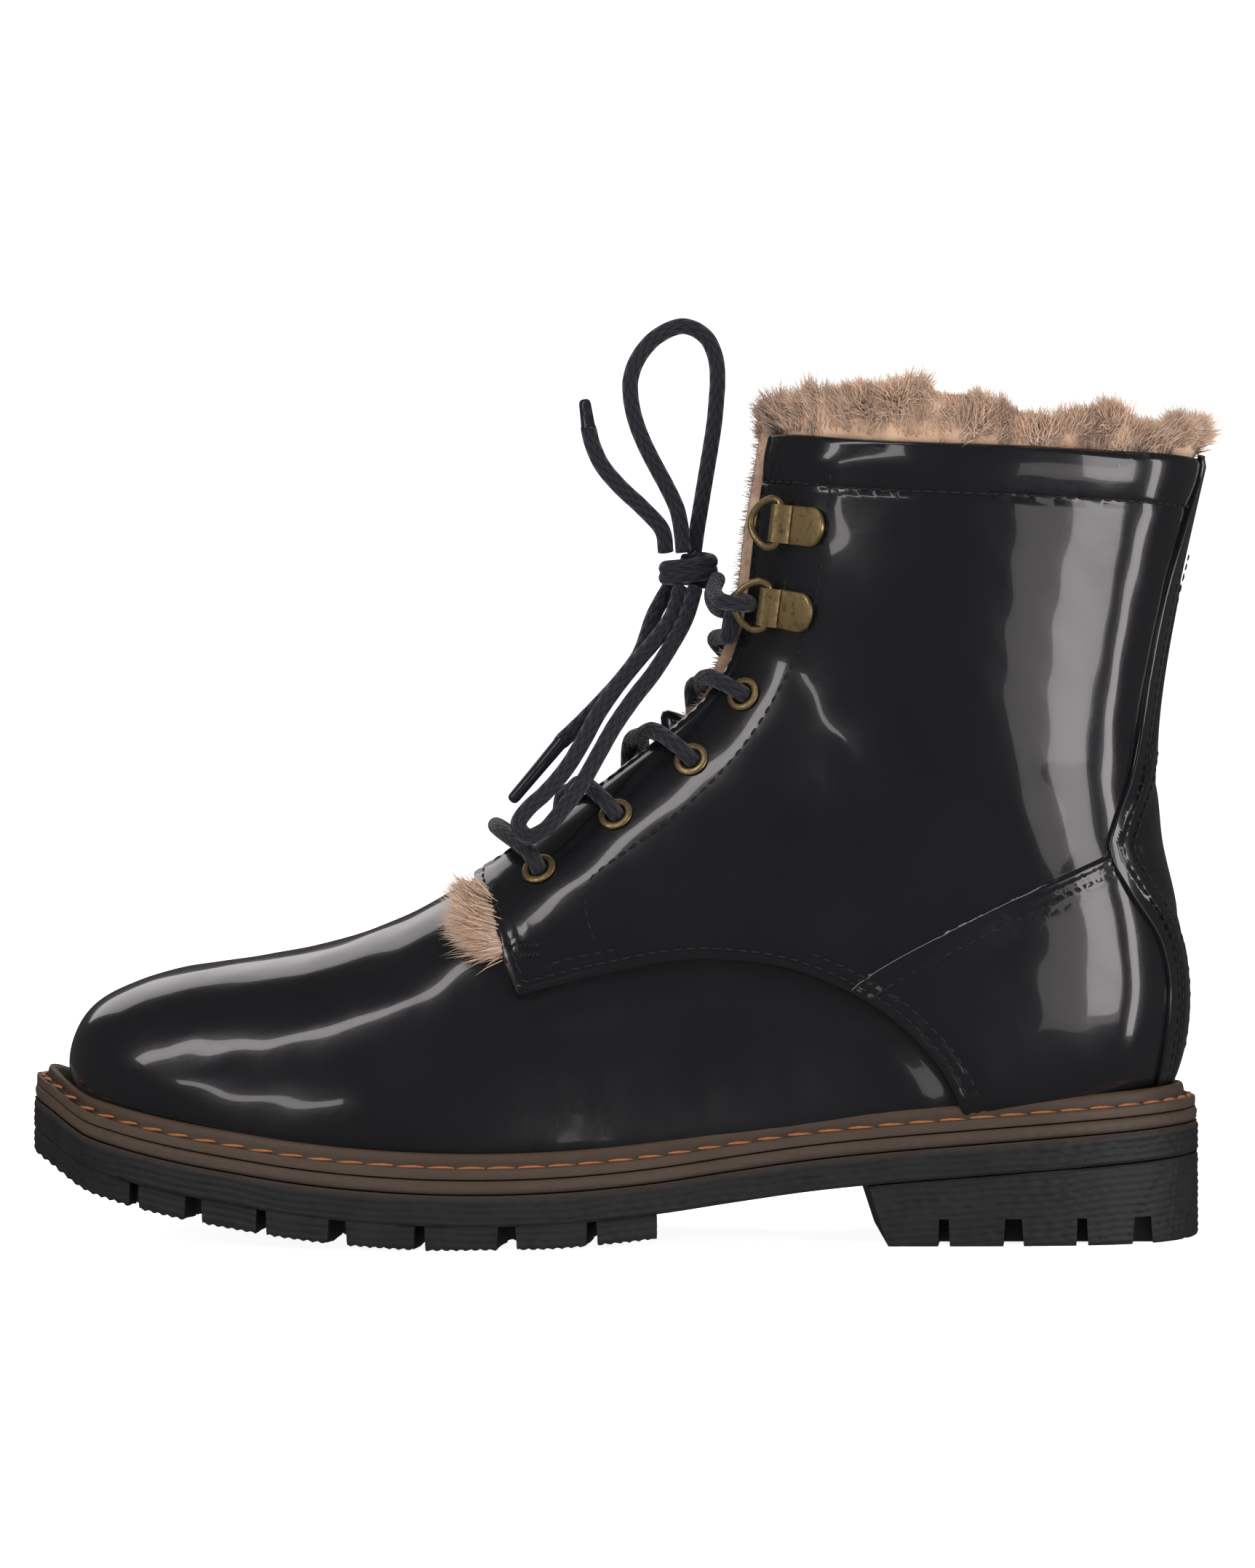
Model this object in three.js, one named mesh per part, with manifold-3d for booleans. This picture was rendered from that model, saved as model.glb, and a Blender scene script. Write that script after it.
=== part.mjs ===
// A lace-up ankle boot for the left foot, in polished leather over a shearling lining, on a stitched
// storm welt and a lugged rubber sole. Millimetres, +Z up, toe towards -X, outer side of the foot at -Y.
// The origin lies on the ground, under the middle of the boot's box (laces left out).
import * as THREE from "three";
import { mergeVertices } from "three/addons/utils/BufferGeometryUtils.js";
import Module from "manifold-3d";

const wasm = await Module();
wasm.setup();

// ---------- Driving dimensions ----------
const soleLength = 290; // toe tip to heel back of the outsole
const soleWidth = 104; // across the ball of the foot
const shaftHeight = 198; // ground to the collar's front corner
const gap = 0.3; // clearance between pieces that touch
const leather = 1.8; // vamp, quarters and counters
const stripLeather = 1.4; // back strip
const lining = 6; // shearling, skin and pressed fleece
const tongueLeather = 1.5;
const tongueFleece = 4.5;
const stiffener = 1.4; // toe puff and heel counter

const weltWidth = 6.5; // welt beyond the upper
const weltThick = 2.6;
const weltLip = 3.4; // height of the storm welt's lip
const midsoleThick = 3.2;
const soleThick = 7.4; // outsole plate without its lugs
const lugDepth = 6;
const threadWidth = 1.2; // welt stitching
const insoleThick = 2.2;
const shankThick = 1.2;
const fillerThick = 2;
const footbedThick = 6;

const laceWidth = 4;
const eyeletHole = 2.6; // radius
const eyeletFlange = 4.3; // radius
const ringWire = 1.7;
const ringHeight = 14.2; // outside, along its bar
const ringReach = 9.6; // outside, from bar to bow
const clipThick = 0.9;

// ---------- Grading: the pattern is drawn at one size, and scaled to the driving dimensions ----------
const pattern = { length: 290, width: 104, shaft: 198, feather: 40 };
const gradeX = soleLength / pattern.length;
const gradeY = soleWidth / pattern.width;
const gradeZ = (shaftHeight - pattern.feather) / (pattern.shaft - pattern.feather);
const toX = (x) => x * gradeX;
const toY = (y) => y * gradeY;
const toZ = (z) => (z < pattern.feather ? z : pattern.feather + (z - pattern.feather) * gradeZ);
const side = (points) => points.map(([x, z]) => [toX(x), toZ(z)]);

// ---------- Splines ----------
// Second derivatives of a cubic spline through evenly spaced values, natural or periodic.
function bends(values, periodic) {
  const n = values.length;
  let m = new Array(n).fill(0);
  for (let pass = 0; pass < 60; pass++) {
    const next = m.slice();
    for (let i = 0; i < n; i++) {
      if (!periodic && (i === 0 || i === n - 1)) continue;
      const a = (i + n - 1) % n;
      const b = (i + 1) % n;
      next[i] = (6 * (values[a] - 2 * values[i] + values[b]) - next[a] - m[b]) / 4;
    }
    m = next;
  }
  return m;
}

function splineOf(values, periodic = false) {
  const n = values.length;
  const m = bends(values, periodic);
  return (t) => {
    const at = periodic ? ((t % n) + n) % n : t;
    const i = periodic ? Math.floor(at) % n : Math.min(n - 2, Math.max(0, Math.floor(at)));
    const j = (i + 1) % n;
    const b = at - i;
    const a = 1 - b;
    return a * values[i] + b * values[j] + ((a ** 3 - a) * m[i] + (b ** 3 - b) * m[j]) / 6;
  };
}

// A smooth curve y(x) through hand-picked points, with flat ends outside them.
function curveThrough(points) {
  return (x) => {
    if (x <= points[0][0]) return points[0][1];
    const last = points.length - 1;
    if (x >= points[last][0]) return points[last][1];
    let i = 0;
    while (x > points[i + 1][0]) i++;
    const slope = (k) => {
      const p = points[Math.max(0, k - 1)];
      const q = points[Math.min(last, k + 1)];
      return (q[1] - p[1]) / (q[0] - p[0]);
    };
    const [x0, y0] = points[i];
    const [x1, y1] = points[i + 1];
    const h = x1 - x0;
    const s = (x - x0) / h;
    const [s2, s3] = [s * s, s * s * s];
    return (2 * s3 - 3 * s2 + 1) * y0 + (s3 - 2 * s2 + s) * h * slope(i)
      + (3 * s2 - 2 * s3) * y1 + (s3 - s2) * h * slope(i + 1);
  };
}

const smooth = (low, high, x) => {
  const t = Math.min(1, Math.max(0, (x - low) / (high - low)));
  return t * t * (3 - 2 * t);
};

// ---------- The last: sections from toe to collar ----------
// back and front are a section's ends in side view, at the foot's underside or the heel's back and at the
// instep ridge. outer and inner are its half widths, widest is how far up it they lie, ridge is the ridge's
// y, and round and low say how full the section is above and below its widest place (0.707 is an ellipse).
const stations = [
  { back: [-100, 12], front: [-134.5, 33], outer: 25, inner: 34, widest: 0.16, ridge: 6, round: 0.76,
    low: 0.85 },
  { back: [-98, 12], front: [-136, 42.5], outer: 29, inner: 37.8, widest: 0.18, ridge: 6, round: 0.76,
    low: 0.85 },
  { back: [-96, 11.8], front: [-134.3, 50.5], outer: 32.5, inner: 39.9, widest: 0.22, ridge: 6,
    round: 0.76, low: 0.84 },
  { back: [-94, 11.6], front: [-129.5, 57.2], outer: 34.8, inner: 41.1, widest: 0.25, ridge: 5.5,
    round: 0.76, low: 0.83 },
  { back: [-91, 11.4], front: [-120.5, 62.2], outer: 37.2, inner: 42.4, widest: 0.28, ridge: 5,
    round: 0.76, low: 0.83 },
  { back: [-86, 11], front: [-107.5, 66.1], outer: 39.8, inner: 43.6, widest: 0.31, ridge: 4.2,
    round: 0.755, low: 0.82 },
  { back: [-78, 10.5], front: [-90, 68.8], outer: 42.5, inner: 44.7, widest: 0.33, ridge: 3.4,
    round: 0.75, low: 0.82 },
  { back: [-63, 9.5], front: [-71, 72.6], outer: 45.4, inner: 45, widest: 0.34, ridge: 2.4, round: 0.745,
    low: 0.82 },
  { back: [-46, 9], front: [-51.5, 79.3], outer: 46, inner: 43.4, widest: 0.32, ridge: 1.4, round: 0.74,
    low: 0.82 },
  { back: [-26, 9.5], front: [-35, 88.8], outer: 44.6, inner: 40.3, widest: 0.29, ridge: 0.6,
    round: 0.74, low: 0.82 },
  { back: [0, 12], front: [-20, 99.5], outer: 41, inner: 36.4, widest: 0.25, ridge: 0, round: 0.745,
    low: 0.82 },
  { back: [30, 15.5], front: [-5.5, 110.8], outer: 37.6, inner: 33.8, widest: 0.23, ridge: 0,
    round: 0.755, low: 0.82 },
  { back: [64, 19], front: [8, 121.8], outer: 35.2, inner: 33, widest: 0.23, ridge: 0, round: 0.765,
    low: 0.81 },
  { back: [98, 22], front: [19.5, 131.6], outer: 34.2, inner: 32.8, widest: 0.25, ridge: 0, round: 0.775,
    low: 0.79 },
  { back: [125, 28], front: [26.5, 140.6], outer: 34.2, inner: 33.6, widest: 0.29, ridge: 0, round: 0.78,
    low: 0.76 },
  { back: [136.5, 43], front: [30, 149.4], outer: 33.8, inner: 33.4, widest: 0.34, ridge: 0,
    round: 0.775, low: 0.74 },
  { back: [138.8, 61], front: [31.6, 157.4], outer: 34.4, inner: 34.2, widest: 0.39, ridge: 0,
    round: 0.77, low: 0.73 },
  { back: [136, 80], front: [32.6, 165], outer: 35.2, inner: 35.2, widest: 0.43, ridge: 0, round: 0.765,
    low: 0.73 },
  { back: [132, 100], front: [33.4, 172.2], outer: 36, inner: 36, widest: 0.46, ridge: 0, round: 0.76,
    low: 0.735 },
  { back: [130.8, 121], front: [34.4, 179], outer: 37, inner: 37, widest: 0.48, ridge: 0, round: 0.755,
    low: 0.74 },
  { back: [133.4, 144], front: [35.4, 185.6], outer: 38, inner: 38, widest: 0.49, ridge: 0, round: 0.75,
    low: 0.745 },
  { back: [138.2, 168], front: [36.4, 191.8], outer: 39.2, inner: 39.2, widest: 0.5, ridge: 0,
    round: 0.75, low: 0.75 },
  { back: [143.8, 192.7], front: [37.4, 198], outer: 40.4, inner: 40.4, widest: 0.5, ridge: 0,
    round: 0.75, low: 0.75 },
];
const lastStation = stations.length - 1;
const throat = 9; // station where the vamp ends and the lace opening begins

// The eight points of a section, from the underside round the outer side to the ridge and back.
function sectionPoints(s) {
  const at = (share, y) => [
    toX(s.back[0] + (s.front[0] - s.back[0]) * share),
    toY(y),
    toZ(s.back[1] + (s.front[1] - s.back[1]) * share),
  ];
  const low = s.widest * (1 - s.low);
  const high = s.widest + (1 - s.widest) * s.round;
  const across = (half, full) => s.ridge + (half - s.ridge) * full;
  return [
    at(0, s.ridge),
    at(low, across(-s.outer, s.low)),
    at(s.widest, -s.outer),
    at(high, across(-s.outer, s.round)),
    at(1, s.ridge),
    at(high, across(s.inner, s.round)),
    at(s.widest, s.inner),
    at(low, across(s.inner, s.low)),
  ];
}

const net = stations.map(sectionPoints);
const netSplines = net[0].map((_, k) => [0, 1, 2].map((c) => splineOf(net.map((ring) => ring[k][c]))));

// The ring at station u as three periodic splines of the way round, 0 at the back and 4 at the ridge.
function ringAt(u) {
  const inside = Math.min(lastStation, Math.max(0, u));
  const over = u - inside;
  const points = netSplines.map((c) => c.map((f) => f(inside) + (over ? (f(inside) - f(inside - 0.5)) * 2 * over : 0)));
  const [x, y, z] = [0, 1, 2].map((c) => splineOf(points.map((p) => p[c]), true));
  return (v) => new THREE.Vector3(x(v), y(v), z(v));
}

// Rings are asked for again and again at the same stations, so they are kept.
const rings = new Map();
function ring(u) {
  const key = u.toFixed(5);
  if (!rings.has(key)) rings.set(key, ringAt(u));
  return rings.get(key);
}

const nudge = 0.02;
function normalAt(u, v) {
  const along = ring(u + nudge)(v).sub(ring(u - nudge)(v));
  const round = ring(u)(v + nudge).sub(ring(u)(v - nudge));
  return along.cross(round).normalize();
}
function surface(u, v, offset = 0) {
  const p = ring(u)(v);
  return offset ? p.addScaledVector(normalAt(u, v), offset) : p;
}

// The station and turn whose point, offset, lies at x, z in side view; v starts on the outer side.
function locate(x, z, offset, u, v) {
  for (let pass = 0; pass < 25; pass++) {
    const p = surface(u, v, offset);
    const pu = surface(u + 0.01, v, offset).sub(p).divideScalar(0.01);
    const pv = surface(u, v + 0.01, offset).sub(p).divideScalar(0.01);
    const [dx, dz] = [x - p.x, z - p.z];
    const det = pu.x * pv.z - pu.z * pv.x;
    u += Math.max(-1, Math.min(1, (dx * pv.z - dz * pv.x) / det));
    v += Math.max(-0.4, Math.min(0.4, (pu.x * dz - pu.z * dx) / det));
  }
  return [u, v];
}

// ---------- Solids ----------
function solidOf(geometry) {
  const bare = geometry.clone();
  for (const name of Object.keys(bare.attributes)) if (name !== "position") bare.deleteAttribute(name);
  const merged = mergeVertices(bare, 1e-4);
  const mesh = new wasm.Mesh({
    numProp: 3,
    vertProperties: new Float32Array(merged.attributes.position.array),
    triVerts: new Uint32Array(merged.index.array),
  });
  return new wasm.Manifold(mesh);
}

function geometryOf(solid) {
  const mesh = solid.getMesh();
  const geometry = new THREE.BufferGeometry();
  geometry.setAttribute("position", new THREE.BufferAttribute(new Float32Array(mesh.vertProperties), 3));
  geometry.setIndex(new THREE.BufferAttribute(new Uint32Array(mesh.triVerts), 1));
  return geometry;
}

// A closed body from rows of points, each row a closed loop, capped with fans at both ends.
function loft(rows) {
  const around = rows[0].length;
  const points = rows.flat();
  const middle = (row) => row.reduce((sum, p) => sum.add(p), new THREE.Vector3()).divideScalar(around);
  points.push(middle(rows[0]), middle(rows[rows.length - 1]));
  const index = [];
  for (let i = 0; i < rows.length - 1; i++) {
    for (let k = 0; k < around; k++) {
      const [a, b] = [i * around + k, i * around + (k + 1) % around];
      const [c, d] = [a + around, b + around];
      index.push(a, c, b, b, c, d);
    }
  }
  const last = (rows.length - 1) * around;
  for (let k = 0; k < around; k++) {
    const next = (k + 1) % around;
    index.push(points.length - 2, k, next, points.length - 1, last + next, last + k);
  }
  const geometry = new THREE.BufferGeometry().setFromPoints(points);
  geometry.setIndex(index);
  const solid = solidOf(geometry);
  if (solid.volume() > 0) return solid;
  geometry.setIndex(index.reverse());
  return solidOf(geometry);
}

// A closed body between two grids of points, that split their squares the same way.
function slab(top, low) {
  const [rows, count] = [top.length, top[0].length];
  const points = [...top.flat(), ...low.flat()];
  const index = [];
  const quad = (a, b, c, d) => index.push(a, b, c, c, b, d);
  const at = (level, i, k) => level * rows * count + i * count + k;
  for (let i = 0; i < rows - 1; i++) {
    for (let k = 0; k < count - 1; k++) {
      quad(at(0, i, k), at(0, i, k + 1), at(0, i + 1, k), at(0, i + 1, k + 1));
      index.push(at(1, i, k), at(1, i + 1, k), at(1, i, k + 1));
      index.push(at(1, i + 1, k), at(1, i + 1, k + 1), at(1, i, k + 1));
    }
    quad(at(1, i, 0), at(0, i, 0), at(1, i + 1, 0), at(0, i + 1, 0));
    quad(at(0, i, count - 1), at(1, i, count - 1), at(0, i + 1, count - 1), at(1, i + 1, count - 1));
  }
  for (let k = 0; k < count - 1; k++) {
    quad(at(0, 0, k + 1), at(0, 0, k), at(1, 0, k + 1), at(1, 0, k));
    quad(at(0, rows - 1, k), at(0, rows - 1, k + 1), at(1, rows - 1, k), at(1, rows - 1, k + 1));
  }
  const geometry = new THREE.BufferGeometry().setFromPoints(points);
  geometry.setIndex(index);
  const solid = solidOf(geometry);
  if (solid.volume() > 0) return solid;
  geometry.setIndex(index.reverse());
  return solidOf(geometry);
}

// A side-view outline, drawn as x, z, made solid from y = from to y = to.
function prism(outline, from = -150, to = 150) {
  const shape = new THREE.Shape(outline.map(([x, z]) => new THREE.Vector2(x, z)));
  const geometry = new THREE.ExtrudeGeometry(shape, { depth: to - from, bevelEnabled: false });
  geometry.rotateX(Math.PI / 2);
  geometry.translate(0, to, 0);
  return solidOf(geometry);
}

// A cylinder from a to b.
function rod(a, b, radius, sides = 16) {
  const geometry = new THREE.CylinderGeometry(radius, radius, a.distanceTo(b), sides);
  const up = b.clone().sub(a).normalize();
  geometry.applyQuaternion(new THREE.Quaternion().setFromUnitVectors(new THREE.Vector3(0, 1, 0), up));
  const middle = a.clone().add(b).multiplyScalar(0.5);
  return solidOf(geometry.translate(middle.x, middle.y, middle.z));
}

// ---------- The body that the boot is cut from ----------
const bodyRows = 26;
const bodyAround = 20;
const bodyTop = lastStation + 1.2;
const tightTurns = [1, 7]; // the corners of the underside turn too tightly for the whole depth
const tightLimit = -3;
function depthAt(offset, v) {
  if (offset > tightLimit) return offset;
  const away = Math.min(...tightTurns.map((turn) => Math.abs(v - turn)));
  return tightLimit + (offset - tightLimit) * (1 - 0.85 * (1 - smooth(0, 1.1, away)));
}
const bodies = new Map();
function body(offset) {
  if (!bodies.has(offset)) {
    const rows = [];
    for (let i = 0; i <= bodyRows; i++) {
      const u = (bodyTop * i) / bodyRows;
      const row = [];
      for (let k = 0; k < bodyAround; k++) {
        const v = (8 * k) / bodyAround;
        row.push(surface(u, v, depthAt(offset, v)));
      }
      rows.push(row);
    }
    bodies.set(offset, loft(rows));
  }
  return bodies.get(offset);
}
const shell = (outer, inner) => body(outer).subtract(body(inner));

// ---------- The feather line: height of the welt's top along the boot ----------
const feather = curveThrough(side([
  [-150, 42], [-140, 38.1], [-130.4, 32.6], [-122.8, 30.3], [-108.3, 27.2], [-92.3, 24.6], [-77.2, 22.4],
  [-62.5, 20.9], [-44, 19.8], [-26, 19.6], [-8.4, 20.3], [10, 22], [27.7, 24.5], [45.8, 27], [64, 28.9],
  [82, 30.4], [100, 31.8], [118, 33.1], [136, 34.3], [150, 35],
]));
const spread = (from, to, count) => Array.from({ length: count + 1 }, (_,
  i) => from + ((to - from) * i) / count);
const featherLine = (rise) => spread(toX(-160), toX(160), 32).map((x) => [x, feather(x) + rise]);
const band = (low, high) => prism([...featherLine(low), ...featherLine(high).reverse()]);
const aboveFeather = (rise) => prism([...featherLine(rise), [toX(160), 400], [toX(-160), 400]]);

// ---------- Sole outline ----------
const outlinePoints = [
  [-145, 6], [-139, -14], [-124, -31], [-103, -43], [-78, -50], [-50, -52.4], [-20, -49.6], [15, -43],
  [50, -39.2], [85, -38.4], [113, -36], [134, -25], [144.6, 0], [136, 22.5], [116, 34], [85, 36],
  [50, 35.6], [15, 38.4], [-20, 44.6], [-50, 50], [-78, 51.6], [-103, 48.5], [-124, 40], [-139, 25],
].map(([x, y]) => [toX(x), toY(y)]);
const outlineX = splineOf(outlinePoints.map((p) => p[0]), true);
const outlineY = splineOf(outlinePoints.map((p) => p[1]), true);
const outlineTurns = outlinePoints.length;
function outlineAt(t, inset) {
  const [dx, dy] = [outlineX(t + nudge) - outlineX(t - nudge), outlineY(t + nudge) - outlineY(t - nudge)];
  const length = Math.hypot(dx, dy);
  return [outlineX(t) - (dy / length) * inset, outlineY(t) + (dx / length) * inset];
}

// A plate of the sole's outline, inset, between two heights given along x.
function plate(inset, low, high, count = 30) {
  const loop = spread(0, outlineTurns, 240).slice(0, -1).map((t) => outlineAt(t, inset));
  const crossings = (x) => {
    const ys = [];
    loop.forEach(([x0, y0], i) => {
      const [x1, y1] = loop[(i + 1) % loop.length];
      if ((x0 - x) * (x1 - x) < 0) ys.push(y0 + ((y1 - y0) * (x - x0)) / (x1 - x0));
    });
    return [Math.min(...ys), Math.max(...ys)];
  };
  const tip = Math.min(...loop.map((p) => p[0])) + 0.05;
  const heel = Math.max(...loop.map((p) => p[0])) - 0.05;
  const rows = spread(0, Math.PI, count).map((a) => {
    const x = (tip + heel) / 2 - (Math.cos(a) * (heel - tip)) / 2 + 0.0137 * Math.sin(a);
    const [y0, y1] = crossings(x);
    return [[y0, low(x)], [y1, low(x)], [y1, high(x)], [y0, high(x)]].map(([y,
      z]) => new THREE.Vector3(x, y, z));
  });
  return loft(rows);
}

// ---------- Seams, in side view ----------
const far = 400;
const frontEdge = side([[-23.5, 60.9], [-30.9, 82.1], [-34.4, 87], [-34.3, 92], [-31.2, 96.1], [-30, 130]]);
const vampSeam = side([[85.6, 28], [79.5, 41], [72.4, 49.5], [64, 56.6], [52, 63.2], [39.1, 67.6], [18.2,
  69.4],
  [-8, 65]]);
const counterSeam = side([[150, 103], [134, 100.6], [119.7, 94.5], [87, 79.3], [60, 64.5], [52, 57]]);
const stripEdge = side([[146.5, 200], [145.6, 189.8], [141.5, 176.7], [136, 159], [131.9, 139.1], [129.6,
  125.3],
  [126.5, 113], [122.3, 102.8], [120.4, 95.4], [125.6, 85.7], [133.6, 74.1], [136.3, 63.8], [136.3, 56.5],
  [135.2, 45.6], [132.4, 30]]);
const collarLine = side([[20, 199], [38.7, 197.6], [60, 195], [98, 193.2], [118, 192.3], [160, 191.2]]);
const fleeceLine = side([[20, 199], [33, 201], [41, 204.2], [52, 206], [66, 206.3], [79, 205], [91, 202.5],
  [101, 198.6], [107, 197.6], [115, 201], [123, 199.5], [129.5, 196.6], [137, 199], [160, 196.5]]);

const quarterSide = prism([...frontEdge, [toX(-30), far], [far, far], ...counterSeam,
  ...vampSeam.slice(4)]);
const belowCounterSeam = prism([...counterSeam.map(([x, z]) => [x, z - gap]), [toX(52), -50], [far, -50],
  [far, toZ(103)]]);
const underCollar = prism([...collarLine, [far, -50], [-far, -50], [-far, toZ(199)]]);
const underFleece = prism([...fleeceLine, [far, -50], [-far, -50], [-far, toZ(199)]]);
const stripSide = prism([...stripEdge, [far, 30], [far, toZ(200)]]);

// ---------- Lace opening ----------
const halfOpening = curveThrough([[toZ(70), 8.5], [toZ(91), 10.5], [toZ(118), 12], [toZ(150), 12.5],
  [toZ(200), 14]]);
// Everything nearer the middle than the facings' edges, above the throat.
function opening(narrower) {
  const rows = spread(toZ(60), toZ(240), 14).map((z) => {
    const half = halfOpening(z) - narrower;
    const [x0, x1] = [toX(-80), toX(86)];
    return [[x0, -half], [x1, -half], [x1, half], [x0, half]].map(([x, y]) => new THREE.Vector3(x, y, z));
  });
  return loft(rows).subtract(prism(side([[-60, 60], [-36, 60], [-33, 92], [-31, 94], [-60, 96]])));
}

// ---------- Sole ----------
const weltLow = (x) => feather(x) - weltThick;
const midsoleHigh = (x) => weltLow(x) - gap;
const midsoleLow = (x) => midsoleHigh(x) - midsoleThick;
const plateHigh = (x) => midsoleLow(x) - gap;
const plateLow = (x) => plateHigh(x) - soleThick;
const treadLow = (x) => Math.max(0, plateLow(x) - lugDepth);
const breast = toX(61);
const forefootEnd = toX(10);

const upperAll = body(leather + 2 * gap).intersect(prism([[toX(56), -50], [far, -50], [far, far],
  [toX(56), far]]));
const upperClear = body(gap).add(upperAll);

function makeWelt() {
  const ringPlate = plate(0.6, weltLow, feather).subtract(plate(weltWidth + 6, (x) => 0, (x) => 80, 26));
  const lipLow = (x) => feather(x) - 0.6;
  const lipHigh = (x) => feather(x) + weltLip;
  const stripClear = body(leather + stripLeather + 3 * gap).intersect(stripSide);
  const lip = plate(3.3, lipLow, lipHigh).subtract(upperClear).subtract(stripClear);
  return ringPlate.add(lip);
}


// Trapezoid notches cut up into the tread, from y = from to y = to, drifting along x by slant.
function notch(x, width, from, to, slant, roof) {
  const top = width * 0.72;
  const section = [[-width / 2, -5], [width / 2, -5], [top / 2, roof], [-top / 2, roof]];
  const ends = [[from, x], [to, x + slant]];
  return loft(ends.map(([y, cx]) => section.map(([dx, z]) => new THREE.Vector3(cx + dx, y, z))));
}

const notchWidths = [3.2, 5.6];
const notchRise = 0.6;
const forefootNotches = [-119.3, -103.8, -86.7, -68.1, -48.3, -27.7, -7.7].map(toX);
const heelNotches = [76.5, 93.3, 109.9, 124.6].map(toX);
const edgeLug = 22; // how far the edge notches reach in, from the sole's edge

function treadCuts(places, roofAt) {
  const cuts = [];
  places.forEach((x, i) => {
    const width = notchWidths[i % 2];
    const roof = roofAt(x) + notchRise;
    const inner = Math.max(8, toY(46) - edgeLug);
    cuts.push(notch(x, width, toY(-70), -inner, 4, roof));
    cuts.push(notch(x, width, inner, toY(70), -4, roof));
    const between = i + 1 < places.length ? (x + places[i + 1]) / 2 : x + 8;
    cuts.push(notch(between, notchWidths[0], -inner, inner, 0, roof));
  });
  return cuts;
}

// Two grooves along the tread, that part the edge lugs from the middle ones.
function treadGrooves(from, to, roofAt, spacing) {
  return [-1, 1].map((s) => {
    const rows = spread(from, to, 8).map((x) => {
      const y = s * spacing;
      const roof = roofAt(x) + notchRise;
      const section = [[y - 1.8, -5], [y + 1.8, -5], [y + 1.3, roof], [y - 1.3, roof]];
      return section.map(([sy, z]) => new THREE.Vector3(x, sy, z));
    });
    return loft(rows);
  });
}

function cutAll(solid, cuts) {
  return cuts.reduce((left, cut) => left.subtract(cut), solid);
}

function makeOutsole() {
  const tread = plate(0, treadLow, plateHigh).intersect(prism([[-far, -50], [forefootEnd - 1.6, -50],
    [forefootEnd, 100], [-far, 100]]));
  const cuts = treadCuts(forefootNotches, plateLow);
  const grooves = treadGrooves(toX(-122), forefootEnd + 5, plateLow, toY(46) - edgeLug);
  return plate(0, plateLow, plateHigh).add(cutAll(tread, [...cuts, ...grooves]));
}

function makeHeel() {
  const heelRoof = () => lugDepth;
  const top = (x) => plateLow(x) - gap;
  const front = [[breast - 1, 60], [breast - 1, 15], [breast, 9], [breast + 2.2, 3.5], [breast + 5.5,
    -5], [far, -5],
    [far, 60]];
  const block = plate(0, () => 0, top).intersect(prism(front));
  const cuts = treadCuts(heelNotches, heelRoof);
  return cutAll(block, [...cuts, ...treadGrooves(breast - 5, toX(160), heelRoof, toY(15))]);
}

function makeMidsole() {
  return plate(0.3, midsoleLow, midsoleHigh);
}

const ringInset = weltWidth + 6;
function makeFiller() {
  const shankSlot = prism([[toX(-12) - gap, -50], [toX(98) + gap, -50], [toX(98) + gap, 90],
    [toX(-12) - gap, 90]],
    -7 - gap, 7 + gap);
  return plate(ringInset + gap, weltLow, (x) => weltLow(x) + fillerThick, 20).subtract(shankSlot);
}

function makeShank() {
  const rows = spread(toX(-12), toX(98), 12).map((x) => {
    const z = weltLow(x);
    return [[-7, z], [7, z], [7, z + shankThick], [-7, z + shankThick]].map(([y,
      h]) => new THREE.Vector3(x, y, h));
  });
  return loft(rows);
}

const liningDeep = leather + gap + lining; // how far in the lining's face lies at the vamp
const footSpace = body(-liningDeep - 3 * gap);
const insoleSpace = body(-liningDeep - 10 * gap);
const insoleLow = gap;
const insoleHigh = insoleLow + insoleThick;
const footbedLow = insoleHigh + gap;

// A closed ring of tube along the outline, laid on the welt.
function makeThread() {
  const points = spread(0, outlineTurns, 72).slice(0, -1).map((t) => {
    const [x, y] = outlineAt(t, 2.1);
    return new THREE.Vector3(x, y, feather(x) + threadWidth / 2 + gap);
  });
  const path = new THREE.CatmullRomCurve3(points, true);
  return solidOf(new THREE.TubeGeometry(path, 64, threadWidth / 2, 4, true));
}

// ---------- Upper ----------
const half = (s) => prism([[-far, -50], [far, -50], [far, far], [-far, far]], s < 0 ? -150 : gap / 2,
  s < 0 ? -gap / 2 : 150);
const onWelt = aboveFeather(gap);
const quarterShell = shell(leather + gap, gap);
const vampShell = shell(0, -leather);

// Places on the lace opening's edges, in side view, on the outer side; the inner side mirrors them.
const eyeletPlaces = side([[-18.6, 90.9], [0.1, 104.2], [18.5, 117.6], [31.3, 133.6]]);
const ringPlaces = side([[38.2, 155], [41, 175]]);
const eyelets = eyeletPlaces.map(([x, z], i) => locate(x, z, leather + gap, 10 + i * 1.6, 3.2));
const ringSpots = ringPlaces.map(([x, z], i) => locate(x, z, leather + gap, 16.5 + i * 3, 3.3));

// The outward, forward and bar directions at a place; s is -1 on the outer side and 1 on the inner.
function frameAt([u, v], s) {
  const turn = s < 0 ? v : 8 - v;
  const point = surface(u, turn);
  const out = normalAt(u, turn);
  const ahead = surface(u, turn - s * 0.05).sub(point);
  const forward = ahead.addScaledVector(out, -ahead.dot(out)).normalize();
  const bar = out.clone().cross(forward);
  return { point, out, forward, bar };
}
const placeOn = (frame, r, o, b = 0) => frame.point.clone().addScaledVector(frame.forward, r)
  .addScaledVector(frame.out, o).addScaledVector(frame.bar, b);

const barrel = eyeletHole + 0.7;
const barrelLow = -1;
const flangeLow = leather + 2 * gap;
const flangeHigh = flangeLow + 0.65;

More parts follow.
